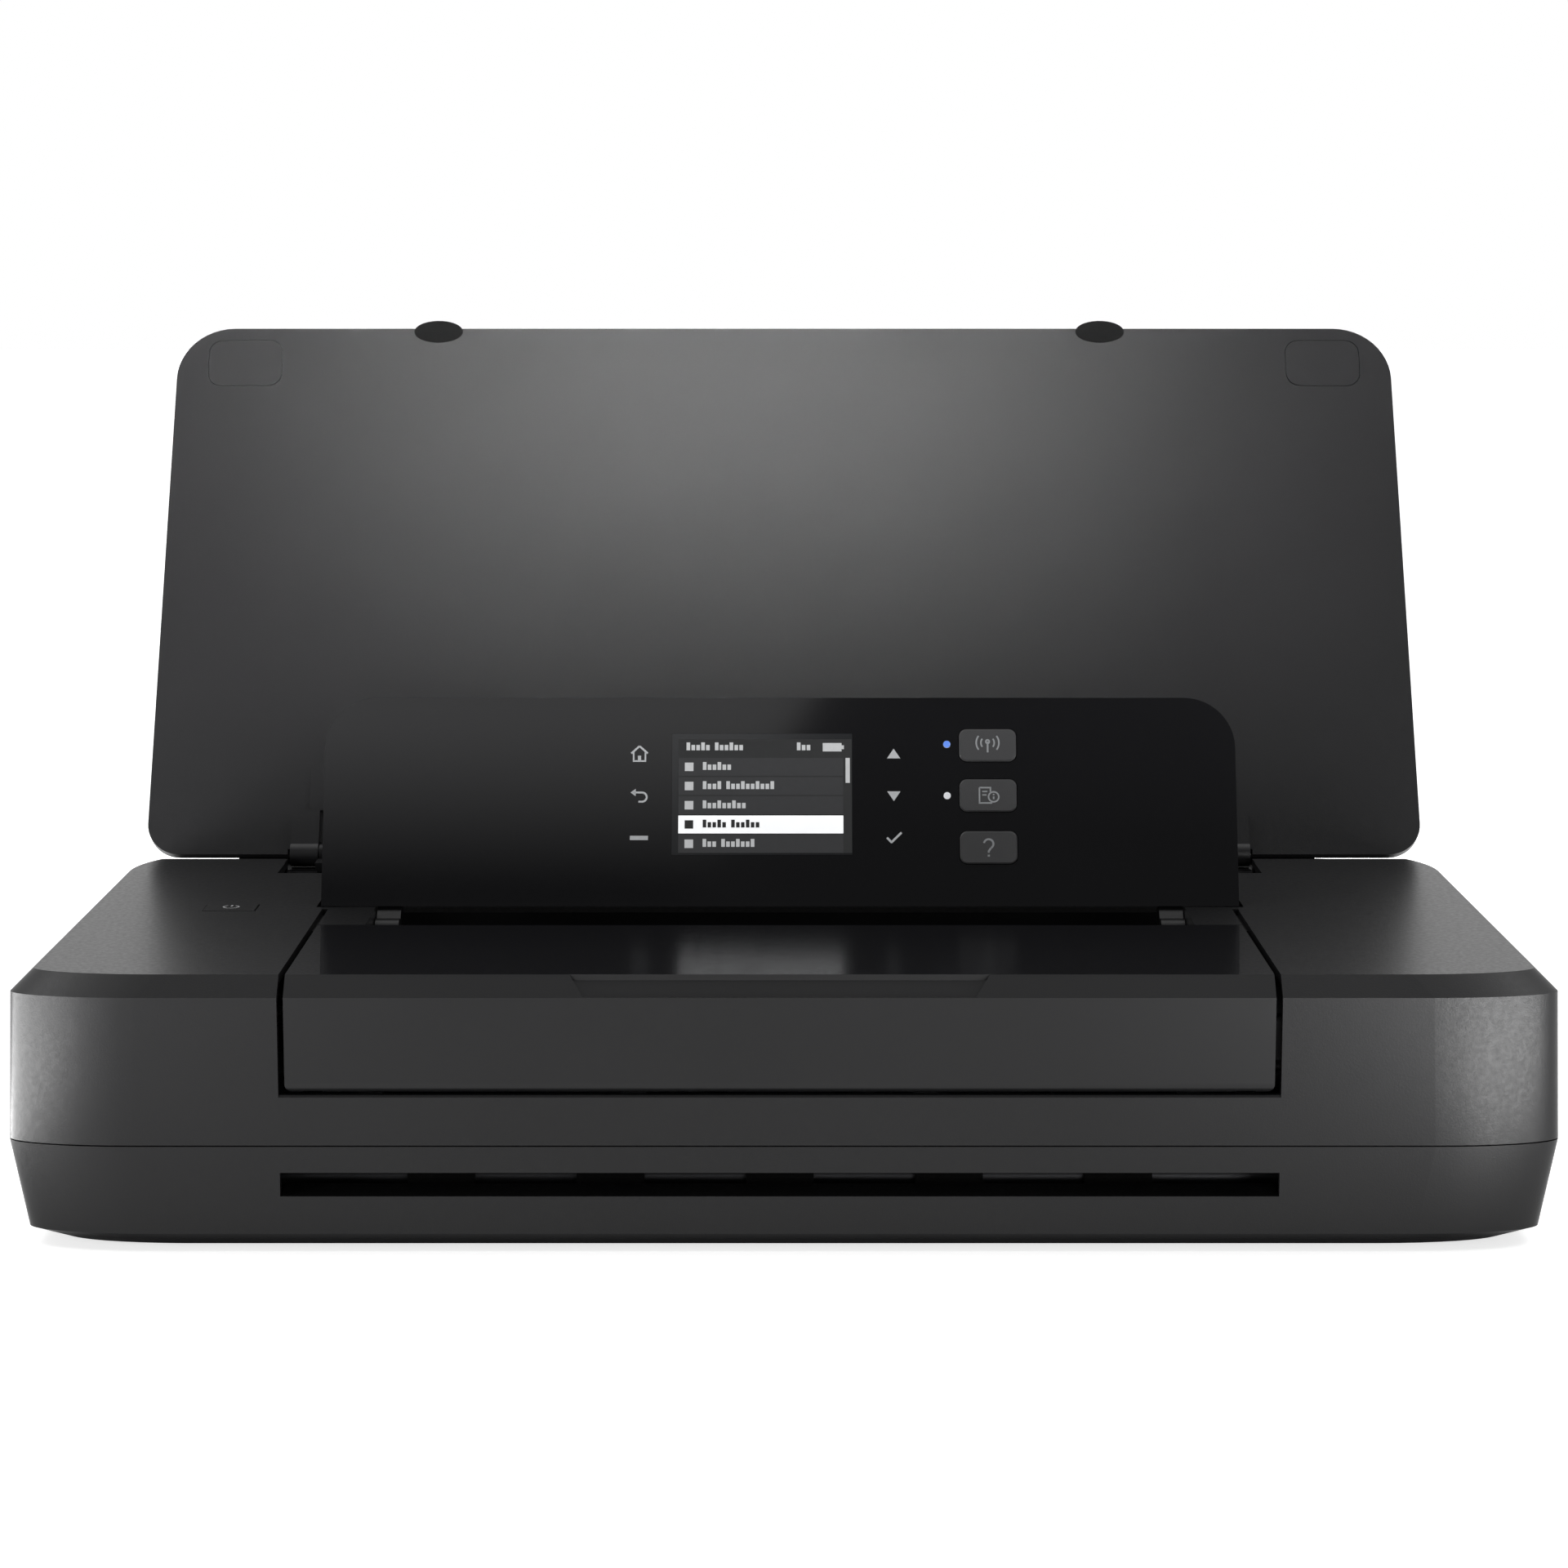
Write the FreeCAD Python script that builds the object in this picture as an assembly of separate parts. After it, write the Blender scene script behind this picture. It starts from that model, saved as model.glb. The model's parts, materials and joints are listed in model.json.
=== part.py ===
# Portable inkjet printer, open for use: lid leaning back as the paper tray, control panel raised.
# Lengths in millimetres and angles in degrees. X runs to the right, Y to the back and Z up.
# Places are worked out from the middle of the front face at floor level, and every piece is then
# moved so that the origin is under the middle of the open printer.
import FreeCAD, Part
import math
import os

Vector = FreeCAD.Vector
X_AXIS = Vector(1, 0, 0)
Y_AXIS = Vector(0, 1, 0)
Z_AXIS = Vector(0, 0, 1)

# Case
case_width = 360.8
case_depth = 186.0
deck_height = 64.3
seam_height = 24.8
seam_gap = 0.3
underside_height = 1.0
case_wall = 2.2
front_corner_width = 30.0
front_corner_depth = 9.0
rear_corner_radius = 36.0
deck_chamfer = 4.6
upper_draft = 1.1
skirt_height = 4.0
skirt_inset = 4.1
underside_inset = 12.5
underside_front_inset = 2.8
lip_height = 3.0
lip_thickness = 1.2
front_middle = -1.0
fit_gap = 0.4
running_gap = 0.05
foot_radius = 6.5
foot_sink = 0.8
foot_side_inset = 34.0
foot_end_inset = 26.0

# Paper path
slot_width = 231.0
slot_low = 12.9
slot_high = 18.5
slot_lip_depth = 12.0
slot_lip_thickness = 1.6
inlet_width = 262.0
inlet_middle = -3.8
inlet_front = 141.0
inlet_back = 157.0
feed_paper_height = 22.0
exit_paper_height = 17.0
paper_gap = 0.3
feed_shaft_radius = 4.0
feed_roller_radius = 6.0
feed_roller_length = 34.0
feed_roller_spacing = 80.0
feed_y = 62.0
exit_y = 24.0
exit_shaft_radius = 3.0
exit_roller_radius = 5.0
exit_roller_length = 16.0
exit_roller_spacing = 40.0
pinch_radius = 4.0
pinch_length = 26.0
pinch_axle_radius = 1.5
pinch_bar_gap = 1.0
pinch_bar_thickness = 3.0
pinch_bar_rise = 6.0
fork_places = (-101.0, -36.0, 36.0, 101.0)
fork_half = 3.0
fork_rise = 3.5
star_radius = 3.5
star_axle_radius = 0.8
star_thickness = 1.0
star_teeth = 14
star_spacing = 40.0
star_axle_overhang = 12.0
star_bar_gap = 0.6
star_bar_half = 4.0
star_bar_thickness = 1.6
star_bearing_places = (-88.0, -30.0, 30.0, 88.0)
star_bearing_half = 2.0
pick_y = 118.0
pick_height = 33.0
pick_radius = 9.0
pick_length = 40.0
pick_shaft_radius = 3.0
chute_thickness = 1.6
chute_side_gap = 10.0
chute_radius = 22.0
chute_feed_gap = 4.0
chute_leg_inset = 4.0
chute_leg_half = 1.0
separation_pad_height = 1.0
platen_width = 222.0
platen_gap = 1.8
platen_thickness = 2.4
platen_leg_width = 4.0
platen_ribs = 16
platen_rib_height = 1.6
platen_rib_half = 0.6
platen_rib_border = 10.0

# Side plates and drive
plate_side_inset = 22.3
plate_thickness = 2.0
plate_height = 58.0
plate_front = 14.0
plate_back = 132.0
plate_foot = 9.0
plate_shoulder = 8.0
plate_nose = 15.0
plate_crest_front = 58.0
plate_crest_back = 86.0
collar_width = 2.0
collar_height = 1.0
gear_module = 0.8
gear_width = 5.0
gear_stand_off = 1.0
feed_teeth = 26
exit_teeth = 18
idler_teeth = 28
motor_teeth = 12
tooth_slack = 0.14
tooth_tip = 0.9
tooth_root = 1.2
tooth_relief = 0.025
pressure_angle = 20.0
motor_radius = 9.8
motor_length = 24.0
motor_shaft_radius = 1.5
motor_hole_gap = 1.0
motor_boss_length = 2.0
spindle_gap = 1.0
motor_angle = 8.0
idler_pin_radius = 2.0
screw_head_radius = 2.6
screw_head_height = 1.6
screw_radius = 1.4
screw_grip = 1.8

# Carriage
rod_radius = 4.0
rod_y = 70.0
rod_height = 42.0
carriage_width = 50.0
carriage_home_gap = 2.0
carriage_front = 14.0
carriage_back = 60.0
carriage_low = 30.5
carriage_high = 52.0
carriage_wall = 1.6
bearing_wall = 2.0
cartridge_gap = 0.3
cartridge_chamfer = 1.2
cradle_ledge = 1.0
head_inset = 2.0
cartridge_high = 54.0
nozzle_height = 22.4
nozzle_front = 34.0
nozzle_back = 54.0
latch_thickness = 1.6
latch_width = 20.0
latch_height = 11.0
latch_pin_radius = 1.2
latch_lug_wall = 0.8
latch_lug_half = 2.0
latch_tab = 1.2
latch_tab_height = 2.0
belt_y = 84.0
belt_end_inset = 12.0
belt_low = 36.0
belt_width = 5.0
belt_thickness = 1.2
clamp_half = 6.0
clamp_wall = 1.5
clamp_drop = 1.0
clamp_rise = 2.0
pulley_radius = 6.0
pulley_pin_radius = 1.5
flange_thickness = 0.8
motor_belt_gap = 2.4
idler_arm_half = 5.0
idler_pin_proud = 2.0
strip_thickness = 0.5
strip_low = 50.0
strip_high = 57.0
reader_half = 8.0
reader_offset = 1.6
reader_wall = 1.2
reader_drop = 1.0

# Lid
lid_side_inset = 6.0
lid_length = 161.5
lid_thickness = 4.2
lid_lean = 29.6
lid_axis_y = 168.7
lid_closed_gap = 0.4
lid_free_corner = 16.0
lid_hinge_corner = 9.0
lid_pin_radius = 1.5
knuckle_radius = 3.3
knuckle_length = 7.6
knuckle_x = 127.1
hinge_middle = -3.8
ear_thickness = 5.0
ear_radius = 3.0
side_gap = 0.3
ledge_front = 163.6
ledge_drop = 3.2
bumper_left = -99.7
bumper_right = 91.1
bumper_width = 14.0
bumper_height = 7.0
bumper_proud = 2.5
pad_width = 21.0
pad_length = 14.5
pad_corner = 4.0
pad_depth = 0.6
pad_side_inset = 9.0
pad_edge_inset = 3.8
extender_width = 150.0
extender_middle = -4.0
extender_grip = 16.0
extender_thickness = 1.2
extender_skin = 1.4
extender_corner = 4.0
guide_spread = 108.5
guide_flange = 18.0
guide_start = 12.5
guide_length = 14.0
guide_proud = 2.4
guide_wall = 1.6
guide_travel = 70.0
arm_length = 12.0
arm_proud = 2.5
arm_room = 1.0
rack_width = 2.6
rack_depth = 1.5
slide_gap = 0.15
pinion_teeth = 10
pinion_module = 0.6
pinion_pin_radius = 1.2
pinion_pin_sink = 0.5
rack_root = 1.25
rack_tip = 0.8
spare_teeth = 4
lid_edge_round = 1.5
extender_travel = 50.0

# Control panel
panel_width = 232.6
panel_lean = 20.4
panel_foot_y = 92.0
panel_length = 54.2
panel_corner = 13.0
panel_edge_round = 2.0
panel_thickness = 9.0
fascia_thickness = 1.0
panel_pivot_height = 58.5
panel_face_back = 2.0
panel_pin_radius = 1.5
panel_knuckle_radius = 3.4
panel_knuckle_length = 6.0
panel_arm_lap = 1.0
panel_arm_drop = 3.0
panel_arm_front = 2.0
hinge_block_width = 15.0
hinge_block_front = 75.0
hinge_block_reach = 3.0
hinge_block_depth = 12.0
panel_pin_hold = 8.0
tub_clearance = 1.0
tub_front = 80.0
tub_wall = 1.8
trough_step = 75.0
trough_floor = 51.0
display_width = 46.0
display_height = 31.6
display_x = -4.6
display_rise = 13.2
display_depth = 0.8
key_width = 14.6
key_height = 8.4
key_corner = 2.0
key_x = 53.0
key_rises = (15.1, 28.6, 41.7)
key_proud = 0.5
key_travel = 0.6
key_foot_depth = 3.0
key_chamfer = 0.3
key_gap = 0.2
light_x = 42.6
light_radius = 0.9
light_rises = (28.6, 42.0)

# Ink door
door_width = 228.0
door_side_gap = 1.5
door_back = 66.0
door_wall = 2.0
door_corner = 2.2
door_pivot_y = 2.6
door_pivot_height = 39.8
door_pin_radius = 0.9
sill_bevel = 0.5
seam_end = 88.0
seam_depth = 1.6
bracket_reach = 4.4
bracket_web = 2.0
bracket_width = 4.0
bracket_inset = 4.3
bracket_radius = 1.7
bracket_arm_drop = 0.7
bracket_swing_room = 0.4
notch_top = 97.0
notch_bottom = 90.0
notch_depth = 0.7

# Power button
power_tub_gap = 19.6
power_y = 89.7
power_width = 13.0
power_length = 9.0
power_proud = 0.2
power_chamfer = 0.15
power_foot = 1.2
power_foot_border = 1.0

# Ink service and electrics
cap_gap = 0.7
cap_corner = 2.0
station_gap = 1.5
station_drop = 2.0
waste_height = 3.0
board_right_inset = 35.3
board_battery_gap = 35.2
board_front = 112.0
board_thickness = 1.6
board_stand_off = 3.0
board_post_radius = 2.5
board_edge_gap = 6.0
battery_middle_inset = 110.3
battery_width = 124.0
battery_height = 15.0
battery_depth = 34.0
cover_border = 3.0
cover_thickness = 2.0
usb_from_edge = 51.0
usb_width = 12.0
usb_height = 11.0
usb_depth = 16.0
usb_wall = 1.6
jack_from_edge = 11.0
jack_width = 14.0
jack_height = 12.0
jack_depth = 15.0
jack_radius = 3.2
jack_pin_radius = 0.9
jack_pin_root = 1.0
socket_end = 4.0

# Worked-out places
half_width = case_width / 2
plate_inside = half_width - plate_side_inset
chute_width = 2 * (plate_inside - motor_length - chute_side_gap)
carriage_home = plate_inside - carriage_width / 2 - carriage_home_gap
belt_span = plate_inside - belt_end_inset
lid_width = case_width - 2 * lid_side_inset
extender_length = extender_travel + extender_grip
battery_x = battery_middle_inset - half_width
board_left = battery_x + battery_width / 2 + board_battery_gap
board_right = half_width - board_right_inset
board_x = (board_left + board_right) / 2
board_width = board_right - board_left
usb_x = board_right - usb_from_edge
inlet_jack_x = board_right - jack_from_edge
lid_tilt = math.radians(lid_lean)
lid_axis_height = deck_height + lid_closed_gap
lid_back = lid_axis_y + lid_length * math.sin(lid_tilt) + lid_thickness * math.cos(lid_tilt)
origin_shift = Vector(0, -lid_back / 2, 0)
floor_height = underside_height + case_wall
ledge_height = deck_height - ledge_drop
feed_height = feed_paper_height - paper_gap - feed_roller_radius
exit_height = exit_paper_height - paper_gap - exit_roller_radius
board_top = floor_height + board_stand_off + board_thickness
board_back = case_depth - skirt_inset - 2 * case_wall - board_edge_gap
board_post_inset = 2 * board_post_radius
board_posts = [(board_x + side * (board_width / 2 - board_post_inset), y)
               for side in (-1, 1) for y in (board_front + board_post_inset, board_back - board_post_inset)]
gear_start = -plate_inside - plate_thickness - gear_stand_off - gear_width


# Helpers
def box(x0, x1, y0, y1, z0, z1):
    return Part.makeBox(x1 - x0, y1 - y0, z1 - z0, Vector(x0, y0, z0))


def rod_x(x0, x1, y, z, radius):
    return Part.makeCylinder(radius, x1 - x0, Vector(x0, y, z), X_AXIS)


def rod_z(x, y, z0, z1, radius):
    return Part.makeCylinder(radius, z1 - z0, Vector(x, y, z0), Z_AXIS)


def joined(shapes):
    whole = shapes[0]
    for shape in shapes[1:]:
        whole = whole.fuse(shape)
    return whole.removeSplitter()


def prism_x(points, x0, x1):
    corners = [Vector(x0, y, z) for y, z in points]
    outline = Part.makePolygon(corners + corners[:1])
    return Part.Face(outline).extrude(Vector(x1 - x0, 0, 0))


def prism_z(points, z0, z1):
    corners = [Vector(x, y, z0) for x, y in points]
    outline = Part.makePolygon(corners + corners[:1])
    return Part.Face(outline).extrude(Vector(0, 0, z1 - z0))


def rounded_plate(x0, x1, y0, y1, z0, z1, low_radius, high_radius):
    """Flat plate whose corners at y0 have low_radius and at y1 high_radius."""
    plate = box(x0, x1, y0, y1, z0, z1)
    for corner_y, radius in ((y0, low_radius), (y1, high_radius)):
        upright = [edge for edge in plate.Edges
                   if abs(edge.BoundBox.ZLength - (z1 - z0)) < 1e-6
                   and edge.BoundBox.XLength < 1e-6
                   and abs(edge.BoundBox.YMin - corner_y) < 1e-6]
        if radius > 0:
            plate = plate.makeFillet(radius, upright)
    return plate


def save(name, shape):
    moved = shape.copy()
    moved.translate(origin_shift)
    moved.exportStep("parts/" + name + ".step")


# Case shells
def case_outline(height, side_inset, front_inset):
    """Closed outline of the case at one height, with oval front corners and round rear ones."""
    half = half_width - side_inset
    front = front_inset
    back = case_depth - side_inset
    across, along, round_back = front_corner_width, front_corner_depth, rear_corner_radius
    front_right = Part.Ellipse(Vector(half - across, front + along, height), across, along)
    front_left = Part.Ellipse(Vector(across - half, front + along, height), across, along)
    back_right = Part.Circle(Vector(half - round_back, back - round_back, height), Z_AXIS, round_back)
    back_left = Part.Circle(Vector(round_back - half, back - round_back, height), Z_AXIS, round_back)
    quarter = math.pi / 2
    arcs = [Part.ArcOfEllipse(front_right, 3 * quarter, 4 * quarter),
            Part.ArcOfCircle(back_right, 0, quarter),
            Part.ArcOfCircle(back_left, quarter, 2 * quarter),
            Part.ArcOfEllipse(front_left, 2 * quarter, 3 * quarter)]
    edges = []
    for arc, following in zip(arcs, arcs[1:] + arcs[:1]):
        edges.append(arc.toShape())
        edges.append(Part.LineSegment(arc.EndPoint, following.StartPoint).toShape())
    return Part.Wire(edges)


def case_loft(stations):
    return Part.makeLoft([case_outline(*station) for station in stations], True, True)


chamfer_low = deck_height - deck_chamfer
deck_inset = upper_draft + deck_chamfer


def upper_block(wall):
    """The upper shell's outside as a solid, or its inside when wall is not zero."""
    low = seam_height + seam_gap / 2 - (0 if wall == 0 else seam_gap)
    return case_loft([(low, wall, wall),
                      (chamfer_low - wall / 2, upper_draft + wall, wall),
                      (deck_height - wall, deck_inset + wall / 2, deck_chamfer + wall / 2)])


def lower_block(wall):
    """The lower shell's outside as a solid, or its inside when wall is not zero."""
    high = seam_height - seam_gap / 2 + (0 if wall == 0 else seam_gap)
    return case_loft([(underside_height + wall, underside_inset + wall, underside_front_inset + wall),
                      (skirt_height + wall / 2, skirt_inset + wall, wall),
                      (high, wall, wall)])


lean = math.radians(panel_lean)
panel_rise = (deck_height - panel_pivot_height + panel_face_back * math.sin(lean)) / math.cos(lean)
panel_pivot_y = panel_foot_y - panel_rise * math.sin(lean) - panel_face_back * math.cos(lean)
tub_half = panel_width / 2 + tub_clearance
power_x = front_middle - tub_half - tub_wall - power_tub_gap
tub_floor = panel_pivot_height - panel_face_back - panel_thickness - tub_clearance
inlet_left = inlet_middle - inlet_width / 2
inlet_right = inlet_middle + inlet_width / 2
block_inside = tub_half - hinge_block_width
bay_half = door_width / 2 + door_side_gap
door_sill = door_pivot_height - door_pivot_y - fit_gap
foot_places = [(side * (half_width - foot_side_inset), y)
               for side in (-1, 1) for y in (foot_end_inset, case_depth - foot_end_inset)]
plate_foot_middle = plate_inside - plate_foot / 2
screw_places = [(side * plate_foot_middle, y)
                for side in (-1, 1) for y in (feed_y + 8.0, plate_back - 14.0)]
cover_half = battery_width / 2 + cover_border
cover_low = floor_height + cover_border
cover_high = seam_height - cover_border


def ear_ends(side):
    """X limits of the fixed ear beside the lid knuckle on one side."""
    outer = hinge_middle + side * (knuckle_x - knuckle_length / 2 - side_gap)
    inner = outer - side * ear_thickness
    return min(outer, inner), max(outer, inner)


def knuckle_ends(side):
    """X limits of the lid knuckle on one side."""
    middle = hinge_middle + side * knuckle_x
    return middle - knuckle_length / 2, middle + knuckle_length / 2


def make_base_shell():
    """Lower shell: drafted tray with a locating lip, paper slot, foot seats and rear openings."""
    shell = lower_block(0).cut(lower_block(case_wall))
    lip_side = case_wall + side_gap
    lip_foot = seam_height - lip_height - seam_gap
    lip_top = seam_height + lip_height
    lip_inside = lip_side + lip_thickness
    tongue = case_loft([(lip_foot, lip_side, lip_side), (lip_top, lip_side + side_gap, lip_side)])
    hollow = case_loft([(lip_foot, lip_inside, lip_inside), (lip_top, lip_inside, lip_inside)])
    root_ring = case_loft([(lip_foot, case_wall / 2, case_wall / 2),
                           (seam_height - seam_gap / 2, case_wall / 2, case_wall / 2)])
    shell = shell.fuse(tongue.cut(hollow)).fuse(root_ring.cut(hollow)).removeSplitter()
    half_slot = slot_width / 2
    slot_left = front_middle - half_slot
    slot_right = front_middle + half_slot
    for low in (slot_low - slot_lip_thickness, slot_high):
        shell = shell.fuse(box(slot_left, slot_right, case_wall / 2, slot_lip_depth, low,
                               low + slot_lip_thickness))
    shell = shell.cut(box(slot_left, slot_right, -1, slot_lip_depth + 1, slot_low, slot_high))
    shell = shell.cut(box(battery_x - cover_half - fit_gap, battery_x + cover_half + fit_gap,
                          case_depth - 5 * case_wall, case_depth + 1, cover_low - fit_gap,
                          cover_high + fit_gap))
    for x, width, height in ((usb_x, usb_width, usb_height), (inlet_jack_x, jack_width, jack_height)):
        shell = shell.cut(box(x - width / 2 - fit_gap, x + width / 2 + fit_gap, case_depth - 5 * case_wall,
                              case_depth + 1, board_top - fit_gap, board_top + height + fit_gap))
    for x, y in foot_places:
        shell = shell.cut(rod_z(x, y, underside_height - 1, underside_height + foot_sink, foot_radius))
    for x, y in screw_places:
        shell = shell.cut(rod_z(x, y, floor_height - screw_grip - running_gap, floor_height + 1,
                                screw_radius + running_gap))
    for x, y in board_posts:
        shell = shell.fuse(rod_z(x, y, floor_height - case_wall / 2, board_top - board_thickness,
                                 board_post_radius))
    return shell.removeSplitter()


def make_top_shell():
    """Upper shell: drafted cover with the ink bay, the panel tub, the paper inlet and the lid ledge."""
    outside = upper_block(0)
    inside = upper_block(case_wall)
    above = deck_height + 1
    outside = outside.cut(box(-case_width, case_width, ledge_front, case_depth + 1, ledge_height, above))
    inside = inside.cut(box(-case_width, case_width, ledge_front - case_wall, case_depth + 1,
                            ledge_height - case_wall, above))
    outside = outside.cut(box(front_middle - tub_half, front_middle + tub_half, tub_front, inlet_back,
                              tub_floor, above))
    inside = inside.cut(box(front_middle - tub_half - tub_wall, front_middle + tub_half + tub_wall,
                            tub_front - tub_wall, inlet_back + tub_wall, tub_floor - tub_wall, above))
    trough_start = door_back + fit_gap
    left = front_middle - block_inside
    right = front_middle + block_inside
    for start, end, bottom in ((trough_start, trough_step, chamfer_low),
                               (trough_step, tub_front, trough_floor)):
        outside = outside.cut(box(left, right, start, end, bottom, above))
        inside = inside.cut(box(left - tub_wall, right + tub_wall, start - tub_wall, end,
                                bottom - tub_wall, above))
    shell = outside.cut(inside)
    shell = shell.cut(box(front_middle - bay_half, front_middle + bay_half, -1, door_back + fit_gap,
                          door_sill, above))
    shell = shell.cut(prism_x([(0, door_sill - sill_bevel), (sill_bevel, door_sill), (0, door_sill)],
                              front_middle - bay_half, front_middle + bay_half))
    shell = shell.cut(box(inlet_left, inlet_right, inlet_front, inlet_back, tub_floor - 2 * tub_wall, above))
    pin_hole_radius = panel_pin_radius + running_gap
    for side in (-1, 1):
        ends = (front_middle + side * tub_half, front_middle + side * block_inside)
        block = box(min(ends), max(ends), hinge_block_front, panel_pivot_y + hinge_block_reach,
                    deck_height - hinge_block_depth, deck_height)
        pin_end = front_middle + side * (block_inside + panel_pin_hold)
        hole_ends = (pin_end, front_middle + side * (block_inside - 1))
        hole = rod_x(min(hole_ends), max(hole_ends), panel_pivot_y, panel_pivot_height, pin_hole_radius)
        shell = shell.fuse(block).cut(hole)
        ear_left, ear_right = ear_ends(side)
        ear = box(ear_left, ear_right, lid_axis_y - ear_radius, lid_axis_y + ear_radius,
                  ledge_height - case_wall / 2, lid_axis_height)
        crown = rod_x(ear_left, ear_right, lid_axis_y, lid_axis_height, ear_radius)
        bore = rod_x(ear_left, ear_right, lid_axis_y, lid_axis_height, lid_pin_radius + running_gap)
        shell = shell.fuse(ear).fuse(crown).cut(bore)
        shell = shell.fuse(door_bracket(*bracket_ends(side)))
        knuckle_left, knuckle_right = knuckle_ends(side)
        shell = shell.cut(box(knuckle_left - side_gap, knuckle_right + side_gap, inlet_back - 1,
                              ledge_front + 1, deck_height - arm_proud - arm_room, above))
        seam_ends = (front_middle + side * bay_half, front_middle + side * (bay_half - door_side_gap))
        shell = shell.cut(box(min(seam_ends), max(seam_ends), door_back, seam_end, deck_height - seam_depth,
                              above))
    half_key_x = power_width / 2 + key_gap
    half_key_y = power_length / 2 + key_gap
    shell = shell.cut(box(power_x - half_key_x, power_x + half_key_x, power_y - half_key_y,
                          power_y + half_key_y, deck_height - 2 * case_wall, above))
    return shell.removeSplitter()


def bracket_ends(side):
    """X limits of the bracket that holds the door pin on one side."""
    outer = front_middle + side * (door_width / 2 - bracket_inset)
    inner = outer - side * bracket_width
    return min(outer, inner), max(outer, inner)


def door_bracket(x0, x1):
    """Hook behind the front wall that holds one door pin and leaves the door's lower edge room to swing."""
    back = door_pivot_y + bracket_reach
    shelf_low = seam_height + lip_height + bracket_web
    arm_high = door_pivot_height + bracket_radius
    shelf = box(x0, x1, case_wall / 2, back + bracket_web, shelf_low, shelf_low + bracket_web)
    post = box(x0, x1, back, back + bracket_web, shelf_low, arm_high)
    arm = box(x0, x1, door_pivot_y, back + bracket_web, door_pivot_height - bracket_arm_drop, arm_high)
    barrel = rod_x(x0, x1, door_pivot_y, door_pivot_height, bracket_radius)
    bore = rod_x(x0, x1, door_pivot_y, door_pivot_height, door_pin_radius + running_gap)
    return joined([shelf, post, arm, barrel]).cut(bore)


def make_ink_door():
    """Front and top cover cut from the same form as the upper shell. A round bead along its lower edge is
    centred on the pivot, so that the gap at the sill stays the same as the door swings."""
    skin = upper_block(0).cut(upper_block(door_wall))
    left = front_middle - door_width / 2
    right = front_middle + door_width / 2
    above = deck_height + 1
    door = skin.common(box(left, right, -1, door_back, door_pivot_height, above))
    door = door.fuse(rod_x(left, right, door_pivot_y, door_pivot_height, door_pivot_y))
    frame = box(left, right, -1, door_back, door_pivot_height - door_pivot_y, above)
    low_edges = [edge for edge in frame.Edges
                 if edge.BoundBox.YLength > 1 and edge.BoundBox.ZMax < door_pivot_height]
    door = door.common(frame.makeFillet(door_corner, low_edges))
    notch = prism_z([(front_middle - notch_top / 2, deck_chamfer),
                     (front_middle + notch_top / 2, deck_chamfer),
                     (front_middle + notch_bottom / 2, 0),
                     (front_middle - notch_bottom / 2, 0)], chamfer_low, above)
    shifted = upper_block(0)
    shifted.translate(Vector(0, notch_depth, -notch_depth))
    door = door.cut(notch.cut(shifted))
    for side in (-1, 1):
        relief_left, relief_right = bracket_ends(side)
        relief_left -= side_gap
        relief_right += side_gap
        relief = rod_x(relief_left, relief_right, door_pivot_y, door_pivot_height, bracket_radius + side_gap)
        swing_front = door_pivot_y - bracket_arm_drop - side_gap - bracket_swing_room
        swing = box(relief_left, relief_right, swing_front, 2 * door_pivot_y + 1,
                    door_pivot_height - door_pivot_y - 1, door_pivot_height + bracket_radius + side_gap)
        pin = rod_x(relief_left - bracket_web, relief_right + bracket_web, door_pivot_y, door_pivot_height,
                    door_pin_radius)
        door = door.cut(relief).cut(swing).fuse(pin)
    return door.removeSplitter()


def make_feet():
    feet = []
    for x, y in foot_places:
        foot = rod_z(x, y, 0, underside_height + foot_sink, foot_radius)
        feet.append(foot)
    return Part.makeCompound(feet)


# Paper drive
def gear_blank(teeth, module, width, bore_radius):
    """Spur gear about the Z axis at the origin, one tooth centred on +X, with straight-sided teeth."""
    pitch = module * teeth / 2
    tip = pitch + tooth_tip * module
    root = pitch - tooth_root * module
    slope = math.tan(math.radians(pressure_angle))
    step = 2 * math.pi / teeth
    pitch_half = step / 4 - tooth_slack * module / pitch / 2
    tip_half = pitch_half - tooth_tip * module * slope / pitch - tooth_relief * step
    root_half = pitch_half + module * slope / pitch
    points = []
    for index in range(teeth):
        middle = index * step
        for radius, offset in ((root, -root_half), (tip, -tip_half), (tip, tip_half), (root, root_half)):
            points.append((radius * math.cos(middle + offset), radius * math.sin(middle + offset)))
    gear = prism_z(points, 0, width)
    return gear.cut(rod_z(0, 0, -1, width + 1, bore_radius))


def gear_on_x(teeth, module, x0, width, y, z, bore_radius, tooth_angle):
    """Spur gear turning about an X line, with one tooth pointing along tooth_angle from +Y towards +Z."""
    gear = gear_blank(teeth, module, width, bore_radius)
    gear.rotate(Vector(0, 0, 0), Vector(1, 1, 1), 120)
    gear.rotate(Vector(0, 0, 0), X_AXIS, tooth_angle)
    gear.translate(Vector(x0, y, z))
    return gear


feed_pitch = gear_module * feed_teeth / 2
exit_pitch = gear_module * exit_teeth / 2
idler_pitch = gear_module * idler_teeth / 2
motor_pitch = gear_module * motor_teeth / 2
drive_span = math.hypot(exit_y - feed_y, exit_height - feed_height)
span_y = (exit_y - feed_y) / drive_span
span_z = (exit_height - feed_height) / drive_span
reach_feed = feed_pitch + idler_pitch
reach_exit = exit_pitch + idler_pitch
along_span = (reach_feed ** 2 - reach_exit ** 2 + drive_span ** 2) / (2 * drive_span)
above_span = math.sqrt(reach_feed ** 2 - along_span ** 2)
idler_y = feed_y + along_span * span_y + above_span * span_z
idler_height = feed_height + along_span * span_z - above_span * span_y
motor_y = feed_y + (feed_pitch + motor_pitch) * math.cos(math.radians(motor_angle))
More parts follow.
